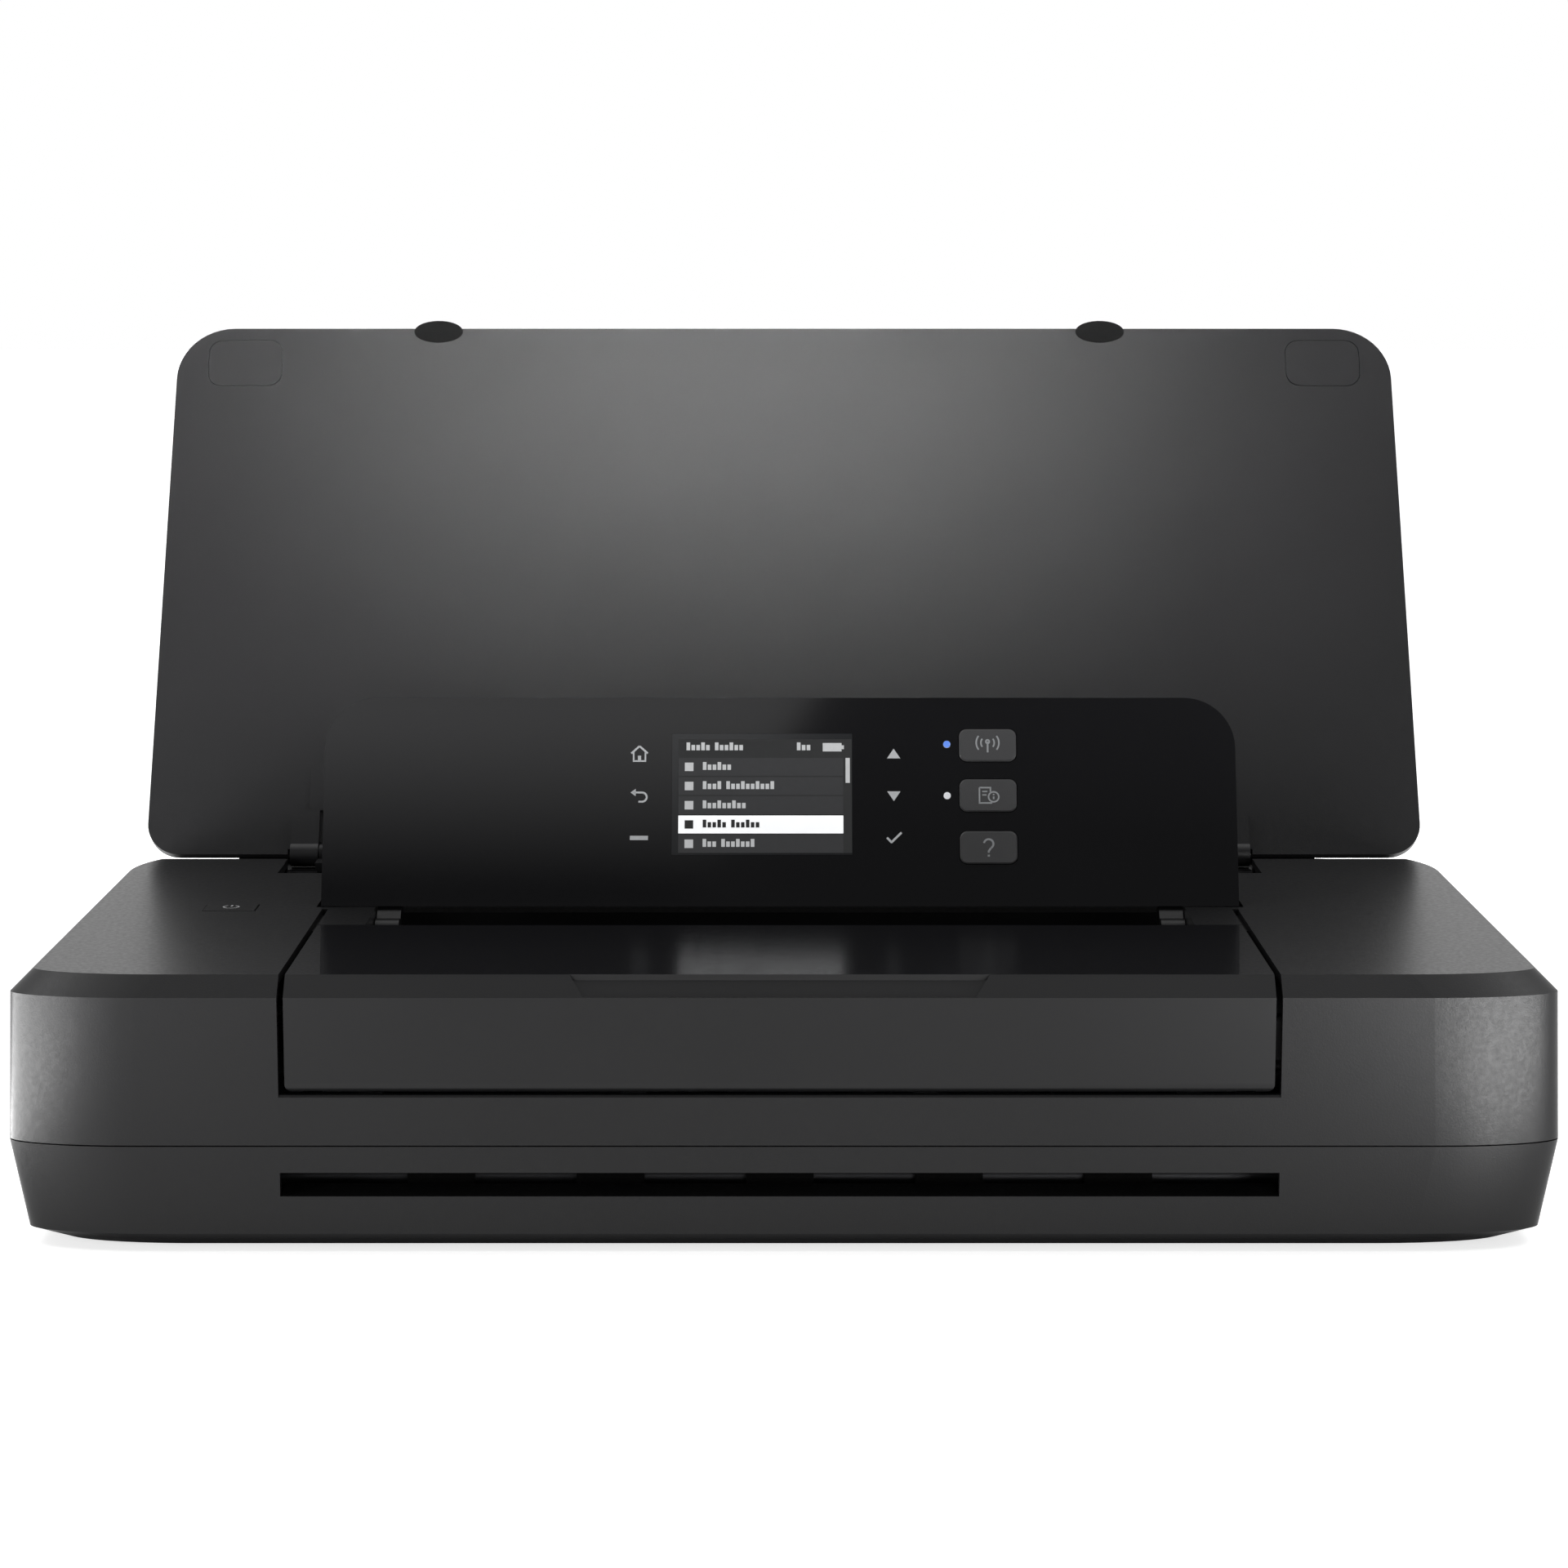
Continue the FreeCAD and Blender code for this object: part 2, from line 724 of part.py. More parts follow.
motor_height = feed_height + (feed_pitch + motor_pitch) * math.sin(math.radians(motor_angle))


def mesh_angle(from_y, from_z, from_teeth, from_tooth, to_y, to_z, to_teeth):
    """Tooth angle of a second gear that puts one of its gaps over a tooth of the first gear."""
    line = math.degrees(math.atan2(to_z - from_z, to_y - from_y))
    from_step = 360.0 / from_teeth
    shift = (line - from_tooth) / from_step
    return line + 180 + (shift + 0.5) * 360.0 / to_teeth


feed_tooth = 0.0
idler_tooth = mesh_angle(feed_y, feed_height, feed_teeth, feed_tooth, idler_y, idler_height, idler_teeth)
exit_tooth = mesh_angle(idler_y, idler_height, idler_teeth, idler_tooth, exit_y, exit_height, exit_teeth)
motor_tooth = mesh_angle(feed_y, feed_height, feed_teeth, feed_tooth, motor_y, motor_height, motor_teeth)
shaft_end = plate_inside + plate_thickness + gear_stand_off


def side_plate(side):
    """Pressed side frame with a foot on the floor and bearing holes for the shafts and the carriage rod."""
    low = floor_height
    outline = [(plate_front, low), (plate_back, low), (plate_back, pick_height + plate_shoulder),
               (plate_crest_back, plate_height), (plate_crest_front, plate_height),
               (plate_front, exit_height + plate_nose)]
    ends = (side * plate_inside, side * (plate_inside + plate_thickness))
    plate = prism_x(outline, min(ends), max(ends))
    foot_ends = (side * plate_inside, side * (plate_inside - plate_foot))
    plate = plate.fuse(box(min(foot_ends), max(foot_ends), feed_y - feed_shaft_radius, plate_back, low,
                           low + plate_thickness))
    holes = [(feed_y, feed_height, feed_shaft_radius), (exit_y, exit_height, exit_shaft_radius),
             (pick_y, pick_height, pick_shaft_radius), (rod_y, rod_height, rod_radius)]
    if side < 0:
        holes.append((motor_y, motor_height, motor_shaft_radius + motor_hole_gap))
    for y, z, radius in holes:
        plate = plate.cut(rod_x(min(ends) - 1, max(ends) + 1, y, z, radius + running_gap))
    for x, y in screw_places:
        plate = plate.cut(rod_z(x, y, low - 1, low + plate_thickness + 1, screw_radius + running_gap))
    if side < 0:
        pin_end = gear_start - gear_stand_off
        plate = plate.fuse(rod_x(pin_end, -plate_inside - plate_thickness / 2, idler_y, idler_height,
                                 idler_pin_radius))
        plate = plate.fuse(idler_pulley_arm())
    return plate.removeSplitter()


def frame_screws():
    screws = []
    for x, y in screw_places:
        seat = floor_height + plate_thickness
        shank = rod_z(x, y, floor_height - screw_grip, seat + screw_head_height / 2, screw_radius)
        head = rod_z(x, y, seat, seat + screw_head_height, screw_head_radius)
        screws.append(shank.fuse(head).removeSplitter())
    return Part.makeCompound(screws)


def shaft_with_flange(y, z, radius, left_end):
    """Plain shaft through both side plates, with a thrust collar inside each plate."""
    shaft = rod_x(left_end, shaft_end, y, z, radius)
    for side in (-1, 1):
        ends = (side * (plate_inside - side_gap), side * (plate_inside - side_gap - collar_width))
        shaft = shaft.fuse(rod_x(min(ends), max(ends), y, z, radius + collar_height))
    return shaft.removeSplitter()


def roller_group(count, spacing, length, y, z, radius, bore_radius):
    """Rubber sleeves on a shaft, evenly spaced about the middle of the paper path."""
    sleeves = []
    for index in range(count):
        middle = front_middle + (index - (count - 1) / 2) * spacing
        sleeve = rod_x(middle - length / 2, middle + length / 2, y, z, radius)
        sleeves.append(sleeve.cut(rod_x(middle - length, middle + length, y, z, bore_radius)))
    return Part.makeCompound(sleeves)


pinch_height = feed_paper_height + paper_gap + pinch_radius
star_height = exit_paper_height + paper_gap + star_radius


def pinch_rollers():
    """Pinch rollers moulded on one axle."""
    axle_half = feed_roller_spacing + pinch_length
    axle = rod_x(front_middle - axle_half, front_middle + axle_half, feed_y, pinch_height, pinch_axle_radius)
    rollers = [rod_x(front_middle + place * feed_roller_spacing - pinch_length / 2,
                     front_middle + place * feed_roller_spacing + pinch_length / 2,
                     feed_y, pinch_height, pinch_radius) for place in (-1, 0, 1)]
    return joined([axle] + rollers)


def pinch_bar():
    """Bar behind the pinch rollers, held by the side plates, with forks that carry the pinch axle."""
    bar_front = feed_y + pinch_radius + pinch_bar_gap
    bar = box(-plate_inside, plate_inside, bar_front, bar_front + pinch_bar_thickness,
              feed_paper_height + pinch_bar_gap + fork_half, pinch_height + pinch_bar_rise)
    for place in fork_places:
        middle = front_middle + place
        fork = box(middle - fork_half, middle + fork_half, feed_y - fork_half,
                   bar_front + pinch_bar_thickness / 2, pinch_height - fork_half, pinch_height + fork_rise)
        bar = bar.fuse(fork)
    bore = rod_x(-plate_inside, plate_inside, feed_y, pinch_height, pinch_axle_radius + running_gap)
    return bar.cut(bore).removeSplitter()


def star_wheel(x):
    """Thin toothed wheel."""
    star_module = 2 * star_radius / (star_teeth + 2 * tooth_tip)
    wheel = gear_blank(star_teeth, star_module, star_thickness, star_axle_radius / 2)
    wheel.rotate(Vector(0, 0, 0), Vector(1, 1, 1), 120)
    wheel.translate(Vector(x - star_thickness / 2, exit_y, star_height))
    return wheel


star_places = [front_middle + place * star_spacing for place in (-2, -1, 0, 1, 2)]


def star_wheels():
    axle_half = 2 * star_spacing + star_axle_overhang
    axle = rod_x(front_middle - axle_half, front_middle + axle_half, exit_y, star_height, star_axle_radius)
    return joined([axle] + [star_wheel(x) for x in star_places])


def star_wheel_bar():
    """Bar over the output rollers, ending on the side plates, with bearings for the star wheel axle."""
    low = star_height + star_radius + star_bar_gap
    bar = box(-plate_inside, plate_inside, exit_y - star_bar_half, exit_y + star_bar_half, low,
              low + star_bar_thickness)
    for place in star_bearing_places:
        middle = front_middle + place
        bar = bar.fuse(box(middle - star_bearing_half, middle + star_bearing_half, exit_y - star_bearing_half,
                           exit_y + star_bearing_half, star_height - 2 * star_axle_radius,
                           low + star_bar_thickness / 2))
    bore = rod_x(-plate_inside, plate_inside, exit_y, star_height, star_axle_radius + running_gap)
    return bar.cut(bore).removeSplitter()


def feed_motor():
    can = rod_x(-plate_inside, -plate_inside + motor_length, motor_y, motor_height, motor_radius)
    boss = rod_x(-plate_inside + motor_length, -plate_inside + motor_length + motor_boss_length, motor_y,
                 motor_height, motor_radius / 3)
    bore = rod_x(-plate_inside - 1, -plate_inside + motor_length / 2, motor_y, motor_height,
                 motor_shaft_radius + running_gap)
    return can.fuse(boss).cut(bore).removeSplitter()


def motor_pinion():
    gear = gear_on_x(motor_teeth, gear_module, gear_start, gear_width, motor_y, motor_height,
                     motor_shaft_radius / 2, motor_tooth)
    spindle = rod_x(gear_start, -plate_inside + motor_length / 2 - spindle_gap, motor_y, motor_height,
                    motor_shaft_radius)
    return gear.fuse(spindle).removeSplitter()


def platen():
    """Ribbed plate under the print zone, on two legs that stand on the case floor."""
    front = exit_y + exit_roller_radius + platen_gap
    back = feed_y - feed_roller_radius - platen_gap
    half = platen_width / 2
    top = (feed_paper_height + exit_paper_height) / 2
    plate = box(front_middle - half, front_middle + half, front, back,
                top - platen_rib_height - platen_thickness, top - platen_rib_height)
    pieces = [plate]
    for side in (-1, 1):
        x = front_middle + side * (half - platen_leg_width)
        pieces.append(box(x - platen_leg_width / 2, x + platen_leg_width / 2, front, back, floor_height,
                          top - platen_rib_height - platen_thickness / 2))
    rib_spacing = (platen_width - 2 * platen_rib_border) / (platen_ribs - 1)
    for index in range(platen_ribs):
        x = front_middle + (index - (platen_ribs - 1) / 2) * rib_spacing
        pieces.append(box(x - platen_rib_half, x + platen_rib_half, front + platen_rib_half,
                          back - platen_rib_half, top - platen_rib_height - platen_thickness / 4, top))
    return joined(pieces)


def pick_roller():
    """Pick roller moulded with its shaft."""
    shaft = rod_x(-shaft_end, shaft_end, pick_y, pick_height, pick_shaft_radius)
    drum = rod_x(front_middle - pick_length / 2, front_middle + pick_length / 2, pick_y, pick_height,
                 pick_radius)
    return shaft.fuse(drum).removeSplitter()


chute_top = feed_paper_height - 2 * paper_gap


def paper_chute():
    """Curved tray that turns the sheet from the inlet to the feed roller, on two legs."""
    high = tub_floor - tub_wall - side_gap
    centre_y = inlet_back - chute_radius
    centre_z = chute_top + chute_radius
    start = feed_y + feed_roller_radius + chute_feed_gap
    half_sqrt = math.sqrt(0.5)
    outer = chute_radius + chute_thickness

    def bend(radius):
        return Part.Arc(Vector(0, centre_y + radius, centre_z),
                        Vector(0, centre_y + radius * half_sqrt, centre_z - radius * half_sqrt),
                        Vector(0, centre_y, centre_z - radius)).toShape()

    def line(y0, z0, y1, z1):
        return Part.LineSegment(Vector(0, y0, z0), Vector(0, y1, z1)).toShape()

    edges = [line(inlet_back, high, inlet_back, centre_z), bend(chute_radius),
             line(centre_y, chute_top, start, chute_top),
             line(start, chute_top, start, chute_top - chute_thickness),
             line(start, chute_top - chute_thickness, centre_y, chute_top - chute_thickness),
             bend(outer), line(inlet_back + chute_thickness, centre_z, inlet_back + chute_thickness, high),
             line(inlet_back + chute_thickness, high, inlet_back, high)]
    outline = Part.Wire(Part.__sortEdges__(edges))
    plate = Part.Face(outline).extrude(Vector(chute_width, 0, 0))
    plate.translate(Vector(front_middle - chute_width / 2, 0, 0))
    legs = []
    for side in (-1, 1):
        x = front_middle + side * (chute_width / 2 - chute_leg_inset)
        legs.append(box(x - chute_leg_half, x + chute_leg_half, belt_y, board_front - chute_leg_inset,
                        floor_height, chute_top - chute_thickness / 2))
    return joined([plate] + legs)


def separation_pad():
    return box(front_middle - pick_length / 2, front_middle + pick_length / 2, pick_y - pick_radius,
               pick_y + pick_radius, chute_top, chute_top + separation_pad_height)


# Carriage
pocket_width = (carriage_width - 3 * carriage_wall) / 2
cartridge_places = [carriage_home + side * (pocket_width + carriage_wall) / 2 for side in (-1, 1)]
latch_y = carriage_front - latch_thickness / 2 - fit_gap - latch_pin_radius / 2
latch_axis_height = (carriage_low + carriage_high) / 2
bearing_radius = rod_radius + bearing_wall


def carriage():
    """Open cradle for two cartridges, with a bearing on the rod, a belt clamp and an encoder reader."""
    left = carriage_home - carriage_width / 2
    right = carriage_home + carriage_width / 2
    cradle = box(left, right, carriage_front, carriage_back, carriage_low, carriage_high)
    bearing = rod_x(left, right, rod_y, rod_height, bearing_radius)
    arm = box(left, right, carriage_back - carriage_wall, rod_y, rod_height - bearing_wall,
              rod_height + bearing_wall)
    fins = []
    for side in (-1, 1):
        fin_y = rod_y + side * reader_offset
        fins.append(box(carriage_home - reader_half, carriage_home + reader_half, fin_y - reader_wall / 2,
                        fin_y + reader_wall / 2, rod_height + rod_radius + bearing_wall / 2,
                        strip_high - reader_drop))
    strand_front = belt_y - pulley_radius - belt_thickness
    strand_back = belt_y - pulley_radius
    clamp_top = belt_low + belt_width
    clamp_left = carriage_home - clamp_half
    clamp_right = carriage_home + clamp_half
    clamp_front = rod_y + rod_radius + bearing_wall / 4
    jaw_start = strand_back + side_gap
    jaw_front = box(clamp_left, clamp_right, clamp_front, strand_front - side_gap, belt_low - clamp_drop,
                    clamp_top + clamp_rise)
    bridge = box(clamp_left, clamp_right, clamp_front, jaw_start + clamp_wall, clamp_top + side_gap,
                 clamp_top + clamp_rise)
    jaw_back = box(clamp_left, clamp_right, jaw_start, jaw_start + clamp_wall, belt_low - clamp_drop,
                   clamp_top + clamp_rise)
    body = joined([cradle, bearing, arm, jaw_front, bridge, jaw_back] + fins)
    body = body.cut(rod_x(left - 1, right + 1, rod_y, rod_height, rod_radius + running_gap))
    for x in cartridge_places:
        body = body.cut(box(x - pocket_width / 2, x + pocket_width / 2, carriage_front + carriage_wall,
                            carriage_back - carriage_wall, carriage_low + carriage_wall, carriage_high + 1))
        body = body.cut(box(x - pocket_width / 2 + cradle_ledge, x + pocket_width / 2 - cradle_ledge,
                            nozzle_front - fit_gap, nozzle_back + fit_gap, carriage_low - 1, carriage_high))
        for side in (-1, 1):
            lug_x = x + side * (latch_width / 2 + side_gap)
            ends = (lug_x, lug_x + side * latch_lug_wall)
            lug = box(min(ends), max(ends), latch_y - latch_lug_half, carriage_front + carriage_wall / 2,
                      latch_axis_height - latch_lug_half, latch_axis_height + latch_lug_half)
            body = body.fuse(lug)
        pin_hole = rod_x(x - latch_width, x + latch_width, latch_y, latch_axis_height,
                         latch_pin_radius + running_gap)
        in_front = box(left - 1, right + 1, latch_y - latch_lug_half - 1, carriage_front, carriage_low,
                       carriage_high)
        body = body.cut(pin_hole.common(in_front))
    return body.removeSplitter()


def cartridge(index):
    """Ink cartridge with its print head reaching down through the cradle floor."""
    x = cartridge_places[index]
    half = pocket_width / 2 - cartridge_gap
    body = box(x - half, x + half, carriage_front + carriage_wall + cartridge_gap,
               carriage_back - carriage_wall - cartridge_gap, carriage_low + carriage_wall, cartridge_high)
    head = box(x - half + head_inset, x + half - head_inset, nozzle_front, nozzle_back, nozzle_height,
               carriage_low + 2 * carriage_wall)
    top_edges = [edge for edge in body.Edges if edge.BoundBox.ZMin > cartridge_high - 0.01]
    body = body.makeChamfer(cartridge_chamfer, top_edges)
    return body.fuse(head).removeSplitter()


def latch(index):
    """Sprung flap in front of one cartridge, on its own pins."""
    x = cartridge_places[index]
    half = latch_width / 2
    flap = box(x - half, x + half, latch_y - latch_thickness / 2, latch_y + latch_thickness / 2,
               latch_axis_height, latch_axis_height + latch_height)
    barrel = rod_x(x - half, x + half, latch_y, latch_axis_height, latch_pin_radius + fit_gap)
    pin_half = half + side_gap + latch_lug_wall
    pin = rod_x(x - pin_half, x + pin_half, latch_y, latch_axis_height, latch_pin_radius)
    tab_top = latch_axis_height + latch_height
    tab = box(x - half / 2, x + half / 2, latch_y - latch_thickness / 2 - latch_tab,
              latch_y + latch_thickness / 2, tab_top - latch_tab_height, tab_top)
    return joined([flap, barrel, pin, tab])


def stadium(x0, x1, y, z0, z1, radius):
    """Flat plate with round ends, along X."""
    return joined([box(x0, x1, y - radius, y + radius, z0, z1), rod_z(x0, y, z0, z1, radius),
                   rod_z(x1, y, z0, z1, radius)])


def drive_belt():
    outer = stadium(-belt_span, belt_span, belt_y, belt_low, belt_low + belt_width,
                    pulley_radius + belt_thickness)
    inner = stadium(-belt_span, belt_span, belt_y, belt_low - 1, belt_low + belt_width + 1, pulley_radius)
    return outer.cut(inner)


def pulley(x, pin_low, bore_radius):
    """Flanged belt pulley; a positive bore makes it ride on a pin, and none gives it its own spindle."""
    rim = pulley_radius - side_gap
    flange = pulley_radius + belt_thickness + fit_gap
    low = belt_low - side_gap
    high = belt_low + belt_width + side_gap
    wheel = joined([rod_z(x, belt_y, low, high, rim), rod_z(x, belt_y, low - flange_thickness, low, flange),
                    rod_z(x, belt_y, high, high + flange_thickness, flange)])
    if bore_radius > 0:
        return wheel.cut(rod_z(x, belt_y, low - 2, high + 2, bore_radius))
    return wheel.fuse(rod_z(x, belt_y, pin_low, high, pulley_pin_radius)).removeSplitter()


carriage_motor_high = belt_low - motor_belt_gap


def carriage_motor():
    can = rod_z(belt_span, belt_y, floor_height + plate_thickness, carriage_motor_high, motor_radius)
    return can.cut(rod_z(belt_span, belt_y, carriage_motor_high - motor_length / 2, carriage_motor_high + 1,
                         pulley_pin_radius + running_gap))


def idler_pulley_arm():
    """Arm on the left side plate with the pin for the idler pulley."""
    arm = box(-plate_inside - plate_thickness / 2, idler_arm_half - belt_span, belt_y - idler_arm_half,
              belt_y + idler_arm_half, carriage_motor_high - plate_thickness, carriage_motor_high)
    pin = rod_z(-belt_span, belt_y, carriage_motor_high - plate_thickness / 2,
                belt_low + belt_width + idler_pin_proud, pulley_pin_radius)
    return arm.fuse(pin)


def encoder_strip():
    return box(-plate_inside, plate_inside, rod_y - strip_thickness / 2, rod_y + strip_thickness / 2,
               strip_low, strip_high)


def service_station():
    """Open-bottomed housing under the parked carriage."""
    left = platen_width / 2 + front_middle + station_gap
    right = plate_inside - station_gap
    front = exit_y + exit_roller_radius + station_gap
    back = nozzle_back + fit_gap
    top = nozzle_height - station_drop
    outside = box(left, right, front, back, floor_height, top)
    inside = box(left + carriage_wall, right - carriage_wall, front + carriage_wall, back - carriage_wall,
                 floor_height - 1, top - carriage_wall)
    return outside.cut(inside)


def capping_pads():
    pads = []
    for x in cartridge_places:
        half = pocket_width / 2 - head_inset
        pad = rounded_plate(x - half, x + half, nozzle_front, nozzle_back, nozzle_height - station_drop,
                            nozzle_height - cap_gap, cap_corner, cap_corner)
        pads.append(pad)
    return Part.makeCompound(pads)


def waste_ink_pad():
    left = platen_width / 2 + front_middle + station_gap + 2 * carriage_wall
    right = plate_inside - plate_foot - station_gap - 2 * carriage_wall
    front = exit_y + exit_roller_radius + station_gap + 2 * carriage_wall
    return box(left, right, front, nozzle_back - 2 * carriage_wall, floor_height, floor_height + waste_height)


# Lid and its pieces, drawn lying flat with the inner face up and the hinge line on the X axis
def raise_lid(shape):
    """Turns a piece of the flat lid up to its open place."""
    raised = shape.copy()
    raised.rotate(Vector(0, 0, 0), X_AXIS, 90 - lid_lean)
    raised.translate(Vector(0, lid_axis_y, lid_axis_height))
    return raised


pinion_pitch = pinion_module * pinion_teeth / 2
rack_line = guide_start + guide_length / 2
channel_half = pinion_pitch + rack_width + 2 * slide_gap
channel_depth = rack_depth + 2 * slide_gap
pocket_high = -extender_skin
pocket_low = pocket_high - extender_thickness - 2 * slide_gap
bumper_places = (bumper_left, bumper_right)


def oval_plate(x, y, z0, z1, half_across, half_along):
    """Flat oval plate."""
    ring = Part.Ellipse(Vector(x, y, z0), half_across, half_along).toShape()
    return Part.Face(Part.Wire([ring])).extrude(Vector(0, 0, z1 - z0))


def pad_limits(side):
    outer = side * (lid_width / 2 - pad_side_inset)
    inner = outer - side * pad_width
    return min(outer, inner), max(outer, inner)


def lid_tray():
    """Tray plate with rounded edges, hinge knuckles and arms, an extender pocket and a guide channel."""
    half = lid_width / 2
    plate = rounded_plate(-half, half, 0, lid_length, -lid_thickness, 0, lid_hinge_corner, lid_free_corner)
    rim = [edge for edge in plate.Edges if edge.BoundBox.ZMax < -lid_thickness + 1e-6]
    plate = plate.makeFillet(lid_edge_round, rim)
    for side in (-1, 1):
        ear_left, ear_right = ear_ends(side)
        reach = ear_radius + fit_gap
        plate = plate.cut(box(ear_left - side_gap, ear_right + side_gap, -1, reach, -lid_thickness - 1, 1))
        knuckle_left, knuckle_right = knuckle_ends(side)
        knuckle = rod_x(knuckle_left, knuckle_right, 0, 0, knuckle_radius)
        arm = box(knuckle_left, knuckle_right, 0, arm_length, -lid_thickness / 2, arm_proud)
        bore = rod_x(knuckle_left - 1, knuckle_right + 1, 0, 0, lid_pin_radius + running_gap)
        plate = plate.fuse(knuckle).fuse(arm).cut(bore)
        left, right = pad_limits(side)
        pad_end = lid_length - pad_edge_inset + slide_gap
        plate = plate.cut(rounded_plate(left - slide_gap, right + slide_gap,
                                        pad_end - pad_length - 2 * slide_gap, pad_end, -pad_depth, 1,
                                        pad_corner, pad_corner))
    half_extender = extender_width / 2 + slide_gap
    plate = plate.cut(box(extender_middle - half_extender, extender_middle + half_extender,
                          lid_length - extender_length - slide_gap, lid_length + 1, pocket_low, pocket_high))
    channel_end = guide_spread + guide_flange + slide_gap
    plate = plate.cut(box(hinge_middle - channel_end, hinge_middle + channel_end, rack_line - channel_half,
                          rack_line + channel_half, -channel_depth, 1))
    plate = plate.fuse(rod_z(hinge_middle, rack_line, -channel_depth - pinion_pin_sink, -slide_gap,
                             pinion_pin_radius))
    for x in bumper_places:
        plate = plate.cut(oval_plate(x, lid_length + bumper_proud - bumper_height / 2, -lid_thickness - 1, 1,
                                     bumper_width / 2, bumper_height / 2))
    return plate.removeSplitter()


def lid_bumpers():
    bumpers = [oval_plate(x, lid_length + bumper_proud - bumper_height / 2, -lid_thickness - slide_gap,
                          slide_gap, bumper_width / 2, bumper_height / 2) for x in bumper_places]
    return Part.makeCompound(bumpers)


def lid_corner_pads():
    pads = []
    for side in (-1, 1):
        left, right = pad_limits(side)
        pad_end = lid_length - pad_edge_inset
        pads.append(rounded_plate(left, right, pad_end - pad_length, pad_end, -pad_depth, 0, pad_corner,
                                  pad_corner))
    return Part.makeCompound(pads)


def tray_extender():
    half = extender_width / 2
    return rounded_plate(extender_middle - half, extender_middle + half, lid_length - extender_length,
                         lid_length, pocket_low + slide_gap, pocket_high - slide_gap, 0, extender_corner)


def rack_teeth(x0, count, pitch, line_y, direction, z0, z1):
    """Row of straight-sided teeth that point along direction from the pitch line."""
    slope = math.tan(math.radians(pressure_angle))
    thick = pitch / 4 - tooth_slack * pinion_module
    low = rack_root * pinion_module
    high = rack_tip * pinion_module
    teeth = []
    for index in range(count):
        x = x0 + index * pitch
        teeth.append(prism_z([(x - thick - low * slope, line_y - direction * low),
                              (x + thick + low * slope, line_y - direction * low),
                              (x + thick - high * slope, line_y + direction * high),
                              (x - thick + high * slope, line_y + direction * high)], z0, z1))
    return teeth


def paper_guide(side):
    """Fence, foot and toothed rack of one paper-width guide; side is -1 on the left and 1 on the right."""
    inner = hinge_middle + side * guide_spread
    outer = hinge_middle + side * (guide_spread + guide_flange)
    guide_end = guide_start + guide_length
    fence_ends = (inner, inner + side * guide_wall)
    fence = box(min(fence_ends), max(fence_ends), guide_start, guide_end, slide_gap, guide_proud)
    foot = box(min(inner, outer), max(inner, outer), guide_start, guide_end, slide_gap,
               slide_gap + guide_wall / 2)
    rack_low = -channel_depth + slide_gap
    rack_high = -slide_gap
    pitch = math.pi * pinion_module
    beyond = 2 * pitch
    outward = -side
    near = rack_line + outward * (pinion_pitch + tooth_root * pinion_module)
    far = rack_line + outward * (pinion_pitch + rack_width)
    rack_ends = (outer, hinge_middle - side * beyond)
    rack = box(min(rack_ends), max(rack_ends), min(near, far), max(near, far), rack_low, rack_high)
    neck = box(min(inner, outer), max(inner, outer), min(near, far), max(near, far), rack_low, guide_wall / 2)
    count = int(guide_travel / pitch) + spare_teeth
    first = hinge_middle - side * pitch
    start = min(first, first + side * (count - 1) * pitch)
    teeth = rack_teeth(start, count, pitch, rack_line + outward * pinion_pitch, -outward, rack_low, rack_high)
    return joined([fence, foot, neck, rack] + teeth)


def guide_pinion():
    pinion = gear_blank(pinion_teeth, pinion_module, rack_depth, pinion_pin_radius + running_gap)
    pinion.translate(Vector(hinge_middle, rack_line, -channel_depth + slide_gap))
    return pinion


# Control panel, drawn lying flat with the face up and the pivot line on the X axis
def raise_panel(shape):
    """Turns a piece of the flat panel up to its raised place."""
    raised = shape.copy()
    raised.rotate(Vector(0, 0, 0), X_AXIS, 90 - panel_lean)
    raised.translate(Vector(front_middle, panel_pivot_y, panel_pivot_height))
    return raised


panel_face = -panel_face_back
panel_top = panel_rise + panel_length


def panel_plate(low, high, inset):
    half = panel_width / 2 - inset
    return rounded_plate(-half, half, panel_rise + inset, panel_top - inset, low, high, 0,
                         panel_corner - inset)


def key_block(rise, low, high, grow):
    half_x = key_width / 2 + grow
    half_y = key_height / 2 + grow
    middle = panel_rise + rise
    return rounded_plate(key_x - half_x, key_x + half_x, middle - half_y, middle + half_y, low, high,
                         key_corner + grow, key_corner + grow)


def display_block(low, high, grow):
    half = display_width / 2 + grow
    low_edge = panel_rise + display_rise - grow
    return box(display_x - half, display_x + half, low_edge, low_edge + display_height + 2 * grow, low, high)



